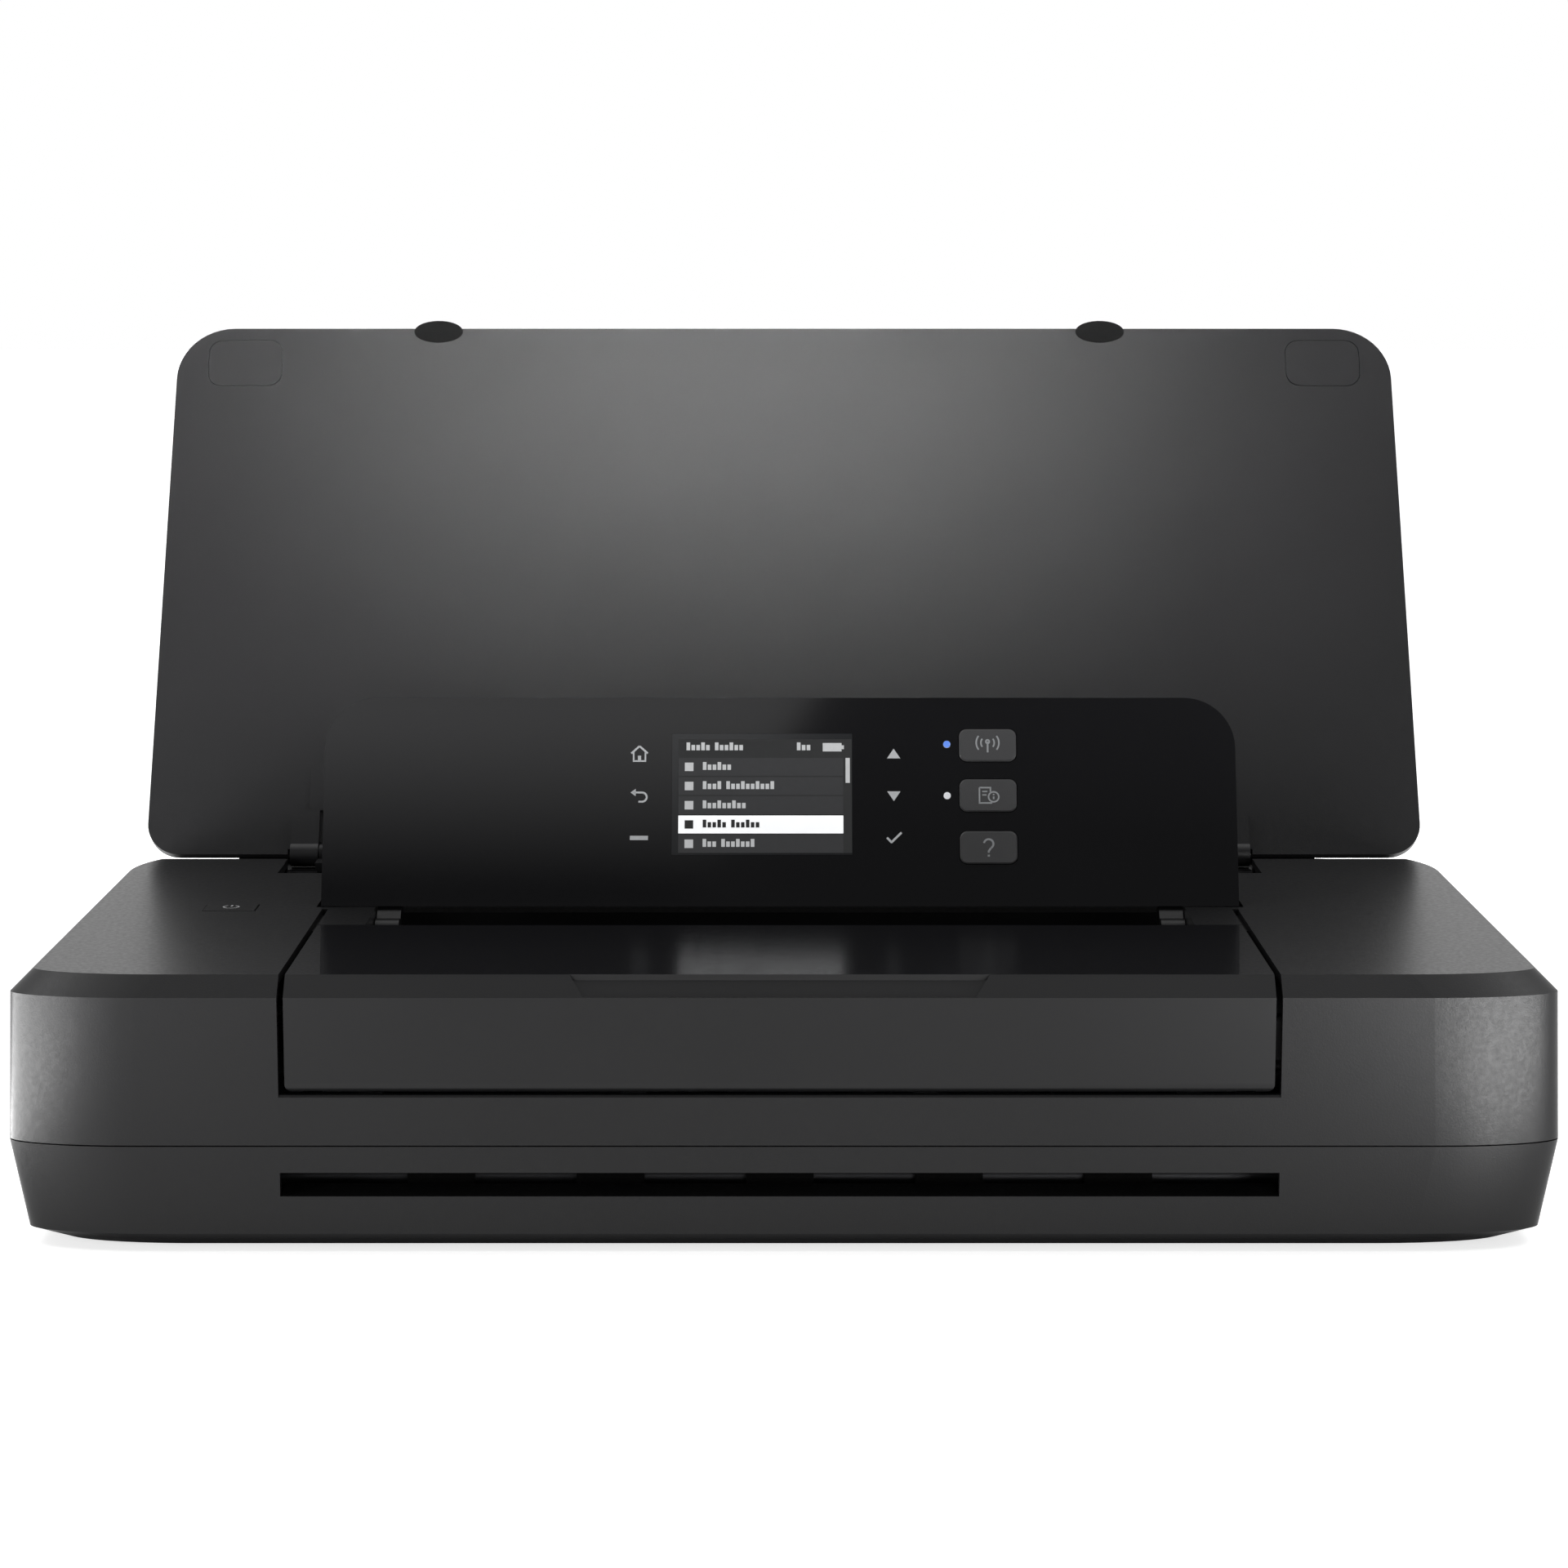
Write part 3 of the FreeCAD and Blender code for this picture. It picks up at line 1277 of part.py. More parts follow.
def panel_housing():
    """Back shell of the panel with two knuckles on arms in front of its lower edge."""
    face = panel_face - fascia_thickness
    back = panel_face - panel_thickness
    shell = panel_plate(back, face, 0)
    rim = [edge for edge in shell.Edges if edge.BoundBox.ZMax < back + 1e-6
           and edge.BoundBox.YMin > panel_rise + 1e-6 or
           (edge.BoundBox.ZMax < back + 1e-6 and edge.BoundBox.YLength > panel_corner)]
    shell = shell.makeFillet(panel_edge_round, rim)
    for side in (-1, 1):
        outer = side * (block_inside - side_gap)
        ends = (outer, outer - side * panel_knuckle_length)
        knuckle = rod_x(min(ends), max(ends), 0, 0, panel_knuckle_radius)
        lap = panel_rise + panel_arm_lap
        arm = prism_x([(0, -panel_knuckle_radius), (lap, back / 2 - panel_arm_drop), (lap, face),
                       (panel_rise, face), (panel_arm_front, 0)], min(ends), max(ends))
        bore = rod_x(min(ends) - 1, max(ends) + 1, 0, 0, panel_pin_radius + running_gap)
        shell = shell.fuse(knuckle).fuse(arm).cut(bore)
    for rise in key_rises:
        shell = shell.cut(key_block(rise, face - key_foot_depth - key_travel, face + 1, key_gap))
    return shell.removeSplitter()


def panel_fascia():
    """Glossy front sheet with openings for the display, the keys and the lights."""
    sheet = panel_plate(panel_face - fascia_thickness, panel_face, 0)
    sheet = sheet.cut(display_block(panel_face - display_depth, panel_face + 1, running_gap))
    for rise in key_rises:
        sheet = sheet.cut(key_block(rise, panel_face - 2 * fascia_thickness, panel_face + 1, key_gap))
    for rise in light_rises:
        sheet = sheet.cut(rod_z(light_x, panel_rise + rise, panel_face - 2 * fascia_thickness, panel_face + 1,
                                light_radius + running_gap))
    return sheet


def display_screen():
    return display_block(panel_face - display_depth, panel_face, 0)


def status_lights():
    lights = [rod_z(light_x, panel_rise + rise, panel_face - fascia_thickness, panel_face, light_radius)
              for rise in light_rises]
    return Part.makeCompound(lights)


def panel_key(index):
    """Key cap that sinks into its well in the housing."""
    face = panel_face - fascia_thickness
    cap = key_block(key_rises[index], face - key_foot_depth, panel_face + key_proud, 0)
    rim = [edge for edge in cap.Edges if edge.BoundBox.ZMin > panel_face + key_proud - 1e-6]
    return cap.makeChamfer(key_chamfer, rim)


def hinge_pins():
    """Steel pins of the lid hinge and of the panel hinge."""
    pins = []
    for side in (-1, 1):
        knuckle_left, knuckle_right = knuckle_ends(side)
        ear_left, ear_right = ear_ends(side)
        left = min(knuckle_left, ear_left)
        right = max(knuckle_right, ear_right)
        pins.append(rod_x(left, right, lid_axis_y, lid_axis_height, lid_pin_radius))
        ends = (front_middle + side * (block_inside + panel_pin_hold - side_gap),
                front_middle + side * (block_inside - side_gap - panel_knuckle_length))
        pins.append(rod_x(min(ends), max(ends), panel_pivot_y, panel_pivot_height, panel_pin_radius))
    return Part.makeCompound(pins)


def power_button():
    """Flush button with a wider foot under the deck."""
    half_x, half_y = power_width / 2, power_length / 2
    foot_top = deck_height - case_wall - side_gap
    cap = box(power_x - half_x, power_x + half_x, power_y - half_y, power_y + half_y,
              foot_top - power_foot, deck_height + power_proud)
    half_x += power_foot_border
    half_y += power_foot_border
    foot = box(power_x - half_x, power_x + half_x, power_y - half_y, power_y + half_y,
               foot_top - power_foot, foot_top)
    rim = [edge for edge in cap.Edges if edge.BoundBox.ZMin > deck_height + power_proud - 1e-6]
    return cap.makeChamfer(power_chamfer, rim).fuse(foot).removeSplitter()


# Electrics
def main_board():
    return box(board_x - board_width / 2, board_x + board_width / 2, board_front, board_back,
               board_top - board_thickness, board_top)


def usb_port():
    """Square socket with an open mouth at the back of the case."""
    half = usb_width / 2
    back = case_depth - skirt_inset + fit_gap
    shell = box(usb_x - half, usb_x + half, back - usb_depth, back, board_top, board_top + usb_height)
    mouth = box(usb_x - half + usb_wall, usb_x + half - usb_wall, back - usb_depth + socket_end, back + 1,
                board_top + usb_wall, board_top + usb_height - usb_wall)
    return shell.cut(mouth)


def power_inlet():
    """Round jack with its centre pin."""
    half = jack_width / 2
    back = case_depth - skirt_inset + fit_gap
    middle = board_top + jack_height / 2
    shell = box(inlet_jack_x - half, inlet_jack_x + half, back - jack_depth, back, board_top,
                board_top + jack_height)
    end = Vector(inlet_jack_x, back - jack_depth + socket_end, middle)
    bore = Part.makeCylinder(jack_radius, jack_depth - socket_end, end, Y_AXIS)
    root = end - Y_AXIS * jack_pin_root
    pin = Part.makeCylinder(jack_pin_radius, jack_depth - socket_end - jack_pin_root, root, Y_AXIS)
    return shell.cut(bore).fuse(pin).removeSplitter()


def battery_pack():
    back = case_depth - underside_inset - case_wall - fit_gap
    return box(battery_x - battery_width / 2, battery_x + battery_width / 2, back - battery_depth, back,
               floor_height, floor_height + battery_height)


def battery_cover():
    skin = lower_block(0).cut(lower_block(cover_thickness))
    return skin.common(box(battery_x - cover_half, battery_x + cover_half, case_depth - 5 * case_wall,
                           case_depth + 1, cover_low, cover_high))


# Pieces of each moving or fixed group
os.makedirs("parts", exist_ok=True)
save("base_shell", make_base_shell())
save("top_shell", make_top_shell())
save("ink_door", make_ink_door())
save("rubber_feet", make_feet())
save("side_plate_left", side_plate(-1))
save("side_plate_right", side_plate(1))
save("frame_screws", frame_screws())
save("hinge_pins", hinge_pins())
save("power_button", power_button())

save("feed_shaft", shaft_with_flange(feed_y, feed_height, feed_shaft_radius, gear_start))
save("feed_rollers", roller_group(3, feed_roller_spacing, feed_roller_length, feed_y, feed_height,
                                  feed_roller_radius, feed_shaft_radius))
save("feed_gear", gear_on_x(feed_teeth, gear_module, gear_start, gear_width, feed_y, feed_height,
                            feed_shaft_radius, feed_tooth))
save("output_shaft", shaft_with_flange(exit_y, exit_height, exit_shaft_radius, gear_start))
save("output_rollers", roller_group(5, exit_roller_spacing, exit_roller_length, exit_y, exit_height,
                                    exit_roller_radius, exit_shaft_radius))
save("output_gear", gear_on_x(exit_teeth, gear_module, gear_start, gear_width, exit_y, exit_height,
                              exit_shaft_radius, exit_tooth))
save("idler_gear", gear_on_x(idler_teeth, gear_module, gear_start, gear_width, idler_y, idler_height,
                             idler_pin_radius + running_gap, idler_tooth))
save("feed_motor", feed_motor())
save("motor_pinion", motor_pinion())
save("pinch_rollers", pinch_rollers())
save("pinch_bar", pinch_bar())
save("star_wheels", star_wheels())
save("star_wheel_bar", star_wheel_bar())
save("pick_roller", pick_roller())
save("separation_pad", separation_pad())
save("paper_chute", paper_chute())
save("platen", platen())

save("carriage", carriage())
save("black_cartridge", cartridge(0))
save("colour_cartridge", cartridge(1))
save("latch_left", latch(0))
save("latch_right", latch(1))
save("carriage_rod", rod_x(-shaft_end, shaft_end, rod_y, rod_height, rod_radius))
save("encoder_strip", encoder_strip())
save("drive_belt", drive_belt())
save("motor_pulley", pulley(belt_span, carriage_motor_high - motor_length / 2 + spindle_gap, 0))
save("idler_pulley", pulley(-belt_span, 0, pulley_pin_radius + running_gap))
save("carriage_motor", carriage_motor())
save("service_station", service_station())
save("capping_pads", capping_pads())
save("waste_ink_pad", waste_ink_pad())

save("lid_tray", raise_lid(lid_tray()))
save("lid_bumpers", raise_lid(lid_bumpers()))
save("lid_corner_pads", raise_lid(lid_corner_pads()))
save("tray_extender", raise_lid(tray_extender()))
save("paper_guide_left", raise_lid(paper_guide(-1)))
save("paper_guide_right", raise_lid(paper_guide(1)))
save("guide_pinion", raise_lid(guide_pinion()))

save("panel_housing", raise_panel(panel_housing()))
save("panel_fascia", raise_panel(panel_fascia()))
save("display_screen", raise_panel(display_screen()))
save("status_lights", raise_panel(status_lights()))
for key_index, key_name in enumerate(("help_key", "info_key", "wireless_key")):
    save(key_name, raise_panel(panel_key(key_index)))

save("main_board", main_board())
save("usb_port", usb_port())
save("power_inlet", power_inlet())
save("battery_pack", battery_pack())
save("battery_cover", battery_cover())
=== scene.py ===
"""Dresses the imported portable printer: moulded plastics, the lit control panel, signs, light and camera."""
import json
import math

import bpy
import numpy as np
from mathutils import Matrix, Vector


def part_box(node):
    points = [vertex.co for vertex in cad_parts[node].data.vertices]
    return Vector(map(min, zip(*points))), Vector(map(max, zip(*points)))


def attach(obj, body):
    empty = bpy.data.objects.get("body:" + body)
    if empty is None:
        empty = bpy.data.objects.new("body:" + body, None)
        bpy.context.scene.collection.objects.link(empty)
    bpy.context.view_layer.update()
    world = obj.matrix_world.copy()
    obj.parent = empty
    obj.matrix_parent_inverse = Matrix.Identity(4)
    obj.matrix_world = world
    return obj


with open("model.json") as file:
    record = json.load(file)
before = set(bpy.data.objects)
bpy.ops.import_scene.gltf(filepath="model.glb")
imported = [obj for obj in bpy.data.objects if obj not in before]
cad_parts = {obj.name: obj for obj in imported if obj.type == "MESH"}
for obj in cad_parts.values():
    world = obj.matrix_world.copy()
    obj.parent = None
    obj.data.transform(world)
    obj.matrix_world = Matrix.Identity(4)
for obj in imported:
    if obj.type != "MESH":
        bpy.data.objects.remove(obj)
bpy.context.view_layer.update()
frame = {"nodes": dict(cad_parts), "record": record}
nodes = frame["nodes"]
joints = {joint["name"]: joint for joint in frame["record"]["behaviour"]["joints"]}

MM = 0.001
X_AXIS = np.array([1.0, 0.0, 0.0])
Y_AXIS = np.array([0.0, 1.0, 0.0])
Z_AXIS = np.array([0.0, 0.0, 1.0])

# Camera, as fitted to the photograph
camera_lens = 86.7
camera_sensor = 36.0
camera_pitch = 8.5
camera_distance = 849.5 * MM
camera_height = 236.3 * MM

# Faces that the signs lie on
front_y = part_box("ink_door")[0][1]
deck_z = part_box("ink_door")[1][2]
panel_in = np.array(joints["help_key_press"]["axis"], dtype=float)
panel_out = -panel_in / np.linalg.norm(panel_in)
panel_across = X_AXIS
panel_up = np.cross(panel_out, panel_across)
sign_lift = 0.06 * MM


def node_span(name, direction):
    """Least and greatest place of a node's vertices along a direction."""
    mesh = nodes[name].data
    flat = np.empty(len(mesh.vertices) * 3)
    mesh.vertices.foreach_get("co", flat)
    places = flat.reshape(-1, 3) @ direction
    return places.min(), places.max()


def face_middle(name, outward):
    """Middle of the flat face of a slab-like node that looks along outward."""
    middle = np.mean(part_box(name), axis=0)
    return middle + outward * (node_span(name, outward)[1] - middle @ outward)


# Materials
def new_material(name):
    """Empty node material and its Principled shader."""
    material = bpy.data.materials.new(name)
    material.use_nodes = True
    return material, material.node_tree.nodes["Principled BSDF"]


def object_noise(tree, scale, detail):
    """Noise on Object coordinates, in cycles per metre."""
    place = tree.nodes.new("ShaderNodeTexCoord")
    noise = tree.nodes.new("ShaderNodeTexNoise")
    noise.inputs["Scale"].default_value = scale
    noise.inputs["Detail"].default_value = detail
    tree.links.new(place.outputs["Object"], noise.inputs["Vector"])
    return noise.outputs["Fac"]


def calculate(tree, operation, *values):
    """Math node of sockets or numbers."""
    node = tree.nodes.new("ShaderNodeMath")
    node.operation = operation
    for socket, value in zip(node.inputs, values):
        if isinstance(value, (int, float)):
            socket.default_value = value
        else:
            tree.links.new(value, socket)
    return node.outputs[0]


def highest(tree, sockets):
    """Greatest of several sockets."""
    result = sockets[0]
    for socket in sockets[1:]:
        result = calculate(tree, "MAXIMUM", result, socket)
    return result


def place_parts(tree, coordinates):
    """X, Y and Z sockets of the named texture coordinates."""
    place = tree.nodes.new("ShaderNodeTexCoord")
    parts = tree.nodes.new("ShaderNodeSeparateXYZ")
    tree.links.new(place.outputs[coordinates], parts.inputs["Vector"])
    return parts.outputs["X"], parts.outputs["Y"], parts.outputs["Z"]


def map_range(tree, source, from_low, from_high, to_low, to_high):
    """Number that goes evenly from to_low to to_high as the source goes from from_low to from_high."""
    node = tree.nodes.new("ShaderNodeMapRange")
    node.inputs["From Min"].default_value = from_low
    node.inputs["From Max"].default_value = from_high
    node.inputs["To Min"].default_value = to_low
    node.inputs["To Max"].default_value = to_high
    tree.links.new(source, node.inputs["Value"])
    return node.outputs["Result"]


def ramp_value(tree, noise, low, high):
    """Number that goes from low to high over the middle of a noise."""
    return map_range(tree, noise, 0.3, 0.7, low, high)


def ramp_colour(tree, noise, low, high):
    """Colour that goes from low to high over the middle of a noise."""
    mix = tree.nodes.new("ShaderNodeMix")
    mix.data_type = "RGBA"
    mix.inputs["A"].default_value = (*low, 1.0)
    mix.inputs["B"].default_value = (*high, 1.0)
    tree.links.new(ramp_value(tree, noise, 0.0, 1.0), mix.inputs["Factor"])
    return mix.outputs["Result"]


def grain_bump(tree, shader, scale, depth):
    """Fine moulded grain as a bump, depth in metres."""
    bump = tree.nodes.new("ShaderNodeBump")
    bump.inputs["Distance"].default_value = depth
    tree.links.new(object_noise(tree, scale, 2.0), bump.inputs["Height"])
    tree.links.new(bump.outputs["Normal"], shader.inputs["Normal"])


def colour_drift(tree, low, high):
    """Colour that drifts from low to high over a hand's width."""
    return ramp_colour(tree, object_noise(tree, 24.0, 3.0), low, high)


def fine_speckle(tree, low, high):
    """Number that is uneven from low to high over about a millimetre."""
    return ramp_value(tree, object_noise(tree, 900.0, 2.0), low, high)


def moulded_plastic(name, colour, roughness, grain_depth=0.00004, grain_scale=2600.0, spread=0.06, sheen=0.5,
                    uneven=0.04):
    """Moulded plastic: colour that drifts a little over the piece, roughness that is uneven, and a fine grain."""
    material, shader = new_material(name)
    tree = material.node_tree
    low = [channel * (1 - spread) for channel in colour]
    high = [channel * (1 + spread) for channel in colour]
    tree.links.new(colour_drift(tree, low, high), shader.inputs["Base Color"])
    tree.links.new(fine_speckle(tree, roughness - uneven, roughness + uneven), shader.inputs["Roughness"])
    shader.inputs["Specular IOR Level"].default_value = sheen
    if grain_depth > 0:
        grain_bump(tree, shader, grain_scale, grain_depth)
    return material


def metal(name, colour, roughness, brush_scale):
    """Plated or ground metal with streaks along X."""
    material, shader = new_material(name)
    tree = material.node_tree
    shader.inputs["Metallic"].default_value = 1.0
    place = tree.nodes.new("ShaderNodeTexCoord")
    stretch = tree.nodes.new("ShaderNodeMapping")
    stretch.inputs["Scale"].default_value = (0.05, 1.0, 1.0)
    streaks = tree.nodes.new("ShaderNodeTexNoise")
    streaks.inputs["Scale"].default_value = brush_scale
    tree.links.new(place.outputs["Object"], stretch.inputs["Vector"])
    tree.links.new(stretch.outputs["Vector"], streaks.inputs["Vector"])
    streak = streaks.outputs["Fac"]
    dark = [channel * 0.92 for channel in colour]
    tree.links.new(ramp_colour(tree, streak, dark, colour), shader.inputs["Base Color"])
    tree.links.new(ramp_value(tree, streak, roughness, roughness + 0.12), shader.inputs["Roughness"])
    return material


def lit_sign(name, colour, strength):
    """Printed or back-lit sign with a slightly uneven print."""
    material, shader = new_material(name)
    tree = material.node_tree
    dim = [channel * 0.9 for channel in colour]
    tree.links.new(ramp_colour(tree, object_noise(tree, 700.0, 2.0), dim, colour), shader.inputs["Base Color"])
    shader.inputs["Roughness"].default_value = 0.45
    shader.inputs["Emission Color"].default_value = (*colour, 1.0)
    shader.inputs["Emission Strength"].default_value = strength
    return material


case_plastic = moulded_plastic("case_plastic", (0.012, 0.012, 0.0127), 0.33, 0.00002, sheen=0.27)
lid_plastic = moulded_plastic("lid_plastic", (0.022, 0.022, 0.0231), 0.38, 0.00002, sheen=0.35)
panel_plastic = moulded_plastic("panel_plastic", (0.007, 0.007, 0.0075), 0.32, 0.00002, sheen=0.3)
key_plastic = moulded_plastic("key_plastic", (0.055, 0.055, 0.057), 0.38, 0.00002)
inner_plastic = moulded_plastic("inner_plastic", (0.018, 0.018, 0.019), 0.55)
cartridge_plastic = moulded_plastic("cartridge_plastic", (0.030, 0.030, 0.034), 0.42)
gear_plastic = moulded_plastic("gear_plastic", (0.72, 0.71, 0.66), 0.45, 0.00002)
board_lacquer = moulded_plastic("board_lacquer", (0.02, 0.13, 0.06), 0.3, 0.00003, 1500.0, 0.25)
felt = moulded_plastic("felt", (0.62, 0.61, 0.57), 0.95, 0.0003, 1800.0, 0.1)
rubber = moulded_plastic("rubber", (0.008, 0.008, 0.008), 0.62, 0.00006, 1800.0, sheen=0.1)
strip_film = moulded_plastic("strip_film", (0.2, 0.2, 0.22), 0.15, 0.0, uneven=0.01)
gloss_black = moulded_plastic("gloss_black", (0.006, 0.006, 0.007), 0.07, 0.0, uneven=0.006)
screen_glass = moulded_plastic("screen_glass", (0.020, 0.021, 0.023), 0.10, 0.0, uneven=0.006)
shaft_steel = metal("shaft_steel", (0.60, 0.60, 0.62), 0.18, 900.0)
sheet_steel = metal("sheet_steel", (0.48, 0.48, 0.50), 0.32, 500.0)
dark_metal = metal("dark_metal", (0.10, 0.10, 0.105), 0.34, 600.0)
motor_metal = metal("motor_metal", (0.30, 0.30, 0.31), 0.36, 400.0)
sign_white = lit_sign("sign_white", (0.42, 0.43, 0.44), 0.30)
sign_grey = lit_sign("sign_grey", (0.30, 0.31, 0.32), 0.08)
sign_dim = lit_sign("sign_dim", (0.28, 0.28, 0.285), 0.10)
screen_dark = lit_sign("screen_dark", (0.016, 0.0165, 0.017), 0.5)
screen_row = lit_sign("screen_row", (0.026, 0.0265, 0.028), 0.5)
screen_white = lit_sign("screen_white", (0.80, 0.81, 0.82), 0.75)
screen_letter = lit_sign("screen_letter", (0.36, 0.365, 0.37), 0.75)
light_blue = lit_sign("light_blue", (0.09, 0.20, 0.62), 0.7)
light_white = lit_sign("light_white", (0.55, 0.56, 0.58), 0.6)


def door_finish():
    """Satin door with a polished field on its top face, between tapering borders. The field's darker colour is a
    painted reflection of the control panel: its tapering outline follows where that reflection falls, on top of
    the real polish there.
    """
    material, shader = new_material("door_finish")
    tree = material.node_tree
    across, along, height = place_parts(tree, "Object")
    # Outline of the field, drawn to follow the control panel's reflection on the door top
    field_middle = -1.0 * MM
    field_half_front = 105.4 * MM
    field_taper = 0.119
    field_polish = 0.4
    aside = calculate(tree, "ABSOLUTE", calculate(tree, "SUBTRACT", across, field_middle))
    behind = calculate(tree, "SUBTRACT", along, front_y)
    half = calculate(tree, "MULTIPLY_ADD", behind, field_taper, field_half_front)
    within = calculate(tree, "LESS_THAN", aside, half)
    on_top = calculate(tree, "GREATER_THAN", height, deck_z - 0.05 * MM)
    field = calculate(tree, "MULTIPLY", within, on_top)
    mix = tree.nodes.new("ShaderNodeMix")
    mix.data_type = "RGBA"
    satin = colour_drift(tree, (0.0112, 0.0112, 0.0118), (0.0128, 0.0128, 0.0135))
    tree.links.new(satin, mix.inputs["A"])
    # Darker colour of the field: a painted reflection of the control panel, over the real polish
    mix.inputs["B"].default_value = (0.006, 0.006, 0.007, 1.0)
    tree.links.new(field, mix.inputs["Factor"])
    tree.links.new(mix.outputs["Result"], shader.inputs["Base Color"])
    polish = calculate(tree, "SUBTRACT", 1.0, calculate(tree, "MULTIPLY", field, field_polish))
    roughness = calculate(tree, "MULTIPLY", fine_speckle(tree, 0.30, 0.38), polish)
    tree.links.new(roughness, shader.inputs["Roughness"])
    shader.inputs["Specular IOR Level"].default_value = 0.27
    return material


finishes = {
    case_plastic: ("base_shell", "top_shell", "power_button", "battery_cover"),
    panel_plastic: ("panel_housing",),
    lid_plastic: ("lid_tray", "lid_corner_pads", "tray_extender", "paper_guide_left", "paper_guide_right"),
    door_finish(): ("ink_door",),
    gloss_black: ("panel_fascia",),
    screen_glass: ("display_screen",),
    light_white: ("status_lights",),
    key_plastic: ("help_key", "info_key", "wireless_key", "latch_left", "latch_right"),
    rubber: ("rubber_feet", "lid_bumpers", "feed_rollers", "output_rollers", "pick_roller", "drive_belt",
             "capping_pads"),
    inner_plastic: ("pinch_rollers", "pinch_bar", "star_wheel_bar", "paper_chute", "platen", "carriage",
                    "service_station", "power_inlet", "guide_pinion"),
    cartridge_plastic: ("black_cartridge", "colour_cartridge", "battery_pack"),
    gear_plastic: ("feed_gear", "output_gear", "idler_gear", "motor_pinion", "motor_pulley", "idler_pulley"),
    board_lacquer: ("main_board",),
    felt: ("separation_pad", "waste_ink_pad"),
    strip_film: ("encoder_strip",),
    shaft_steel: ("feed_shaft", "carriage_rod", "frame_screws", "usb_port"),
    sheet_steel: ("side_plate_left", "side_plate_right"),
    motor_metal: ("feed_motor", "carriage_motor"),
    dark_metal: ("hinge_pins", "output_shaft", "star_wheels"),
}
for finish, names in finishes.items():
    for name in names:
        nodes[name].data.materials.clear()
        nodes[name].data.materials.append(finish)


# New pieces
def new_object(name, points, faces, material):
    """Mesh object of these points and faces in one material."""
    mesh = bpy.data.meshes.new(name)
    mesh.from_pydata([tuple(map(float, point)) for point in points], [], [tuple(map(int, face)) for face in faces])
    mesh.update()
    mesh.materials.append(material)
    piece = bpy.data.objects.new(name, mesh)
    bpy.context.collection.objects.link(piece)
    return piece


def add_piece(name, points, faces, finish, body):
    """New piece that moves with a body."""
    piece = new_object(name, points, faces, finish)
    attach(piece, body)


# Signs: flat ribbons on a face, drawn in millimetres
def ribbon(path, widths):
    """Flat strip along a path in the plane: each path point is moved half the width to both sides of the line."""
    path = np.asarray(path, dtype=float)
    widths = np.broadcast_to(np.asarray(widths, dtype=float), (len(path),))
    along = np.gradient(path, axis=0)
    along /= np.linalg.norm(along, axis=1, keepdims=True)
    aside = np.stack([-along[:, 1], along[:, 0]], axis=1) * widths[:, None] / 2
    points = np.concatenate([path + aside, path - aside])
    count = len(path)
    first = np.arange(count - 1)
    faces = np.stack([first + count, first + count + 1, first + 1, first], axis=1)
    return points, faces


def line(x0, y0, x1, y1, width, width_end=None):
    """Straight ribbon, whose width may change evenly to width_end."""
    return ribbon([(x0, y0), (x1, y1)], [width, width if width_end is None else width_end])


def arc(x, y, radius, start, end, width, count=24):
    """Ribbon along part of a circle; angles in degrees from +x towards +y."""
    turn = np.radians(np.linspace(start, end, count))
    return ribbon(np.stack([x + radius * np.cos(turn), y + radius * np.sin(turn)], axis=1), width)


def block(x0, x1, y0, y1):
    """Filled rectangle: one wide ribbon."""
    return line(x0, (y0 + y1) / 2, x1, (y0 + y1) / 2, y1 - y0)


def signs(name, strokes, origin, across, up, lift, finish, body):
    """One mesh of all the ribbons, laid on the plane through origin and lifted along its normal."""
    outward = np.cross(across, up)
    points = np.concatenate([stroke[0] for stroke in strokes]) * MM
    starts = np.cumsum([0] + [len(stroke[0]) for stroke in strokes[:-1]])
    faces = np.concatenate([stroke[1] + start for stroke, start in zip(strokes, starts)])
    places = origin + points[:, :1] * across + points[:, 1:] * up + outward * lift
    add_piece(name, places, faces, finish, body)


screen = face_middle("display_screen", panel_out)
display_width = np.ptp(node_span("display_screen", panel_across)) / MM
display_height = np.ptp(node_span("display_screen", panel_up)) / MM
icon_left = -31.3
icon_right = 33.6
icon_rises = (10.5, -0.5, -11.4)


def home_icon(x, y):
    """House outline: roof, walls, floor and a door."""
    return [line(x - 2.1, y + 0.1, x, y + 2.0, 0.5),
            line(x, y + 2.0, x + 2.1, y + 0.1, 0.5),
            line(x - 1.5, y + 0.4, x - 1.5, y - 1.9, 0.42),
            line(x + 1.5, y + 0.4, x + 1.5, y - 1.9, 0.42),
            line(x - 1.7, y - 1.9, x + 1.7, y - 1.9, 0.42),
            block(x - 0.4, x + 0.4, y - 1.9, y - 0.5)]


def back_icon(x, y):
    """Arrow that turns back: a shaft with a hook and a head to the left."""
    return [line(x - 1.6, y + 0.9, x + 0.7, y + 0.9, 0.5),
            arc(x + 0.7, y - 0.3, 1.2, 90, -90, 0.5),
            line(x + 0.7, y - 1.5, x - 0.2, y - 1.5, 0.5),
            line(x - 0.9, y + 0.9, x - 2.2, y + 0.9, 1.9, 0.05)]


def tick_icon(x, y):
    """Tick."""
    return [line(x - 1.8, y + 0.1, x - 0.6, y - 1.2, 0.55), line(x - 0.75, y - 1.2, x + 1.9, y + 1.4, 0.55)]


def bar_icon(x, y):
    """Short level bar."""
    return [block(x - 2.3, x + 2.3, y - 0.55, y + 0.55)]


def arrow_icon(x, y, way):
    """Triangle that points up where way is 1, or down where it is -1."""
    return [line(x, y - 1.2 * way, x, y + 1.3 * way, 3.4, 0.05)]


top_row, middle_row, low_row = icon_rises
touch_strokes = (home_icon(icon_left, top_row) + back_icon(icon_left, middle_row) + bar_icon(icon_left, low_row)
                 + arrow_icon(icon_right, top_row, 1) + arrow_icon(icon_right, middle_row, -1)
                 + tick_icon(icon_right, low_row))
signs("touch_signs", touch_strokes, screen, panel_across, panel_up, sign_lift, sign_white, "panel")

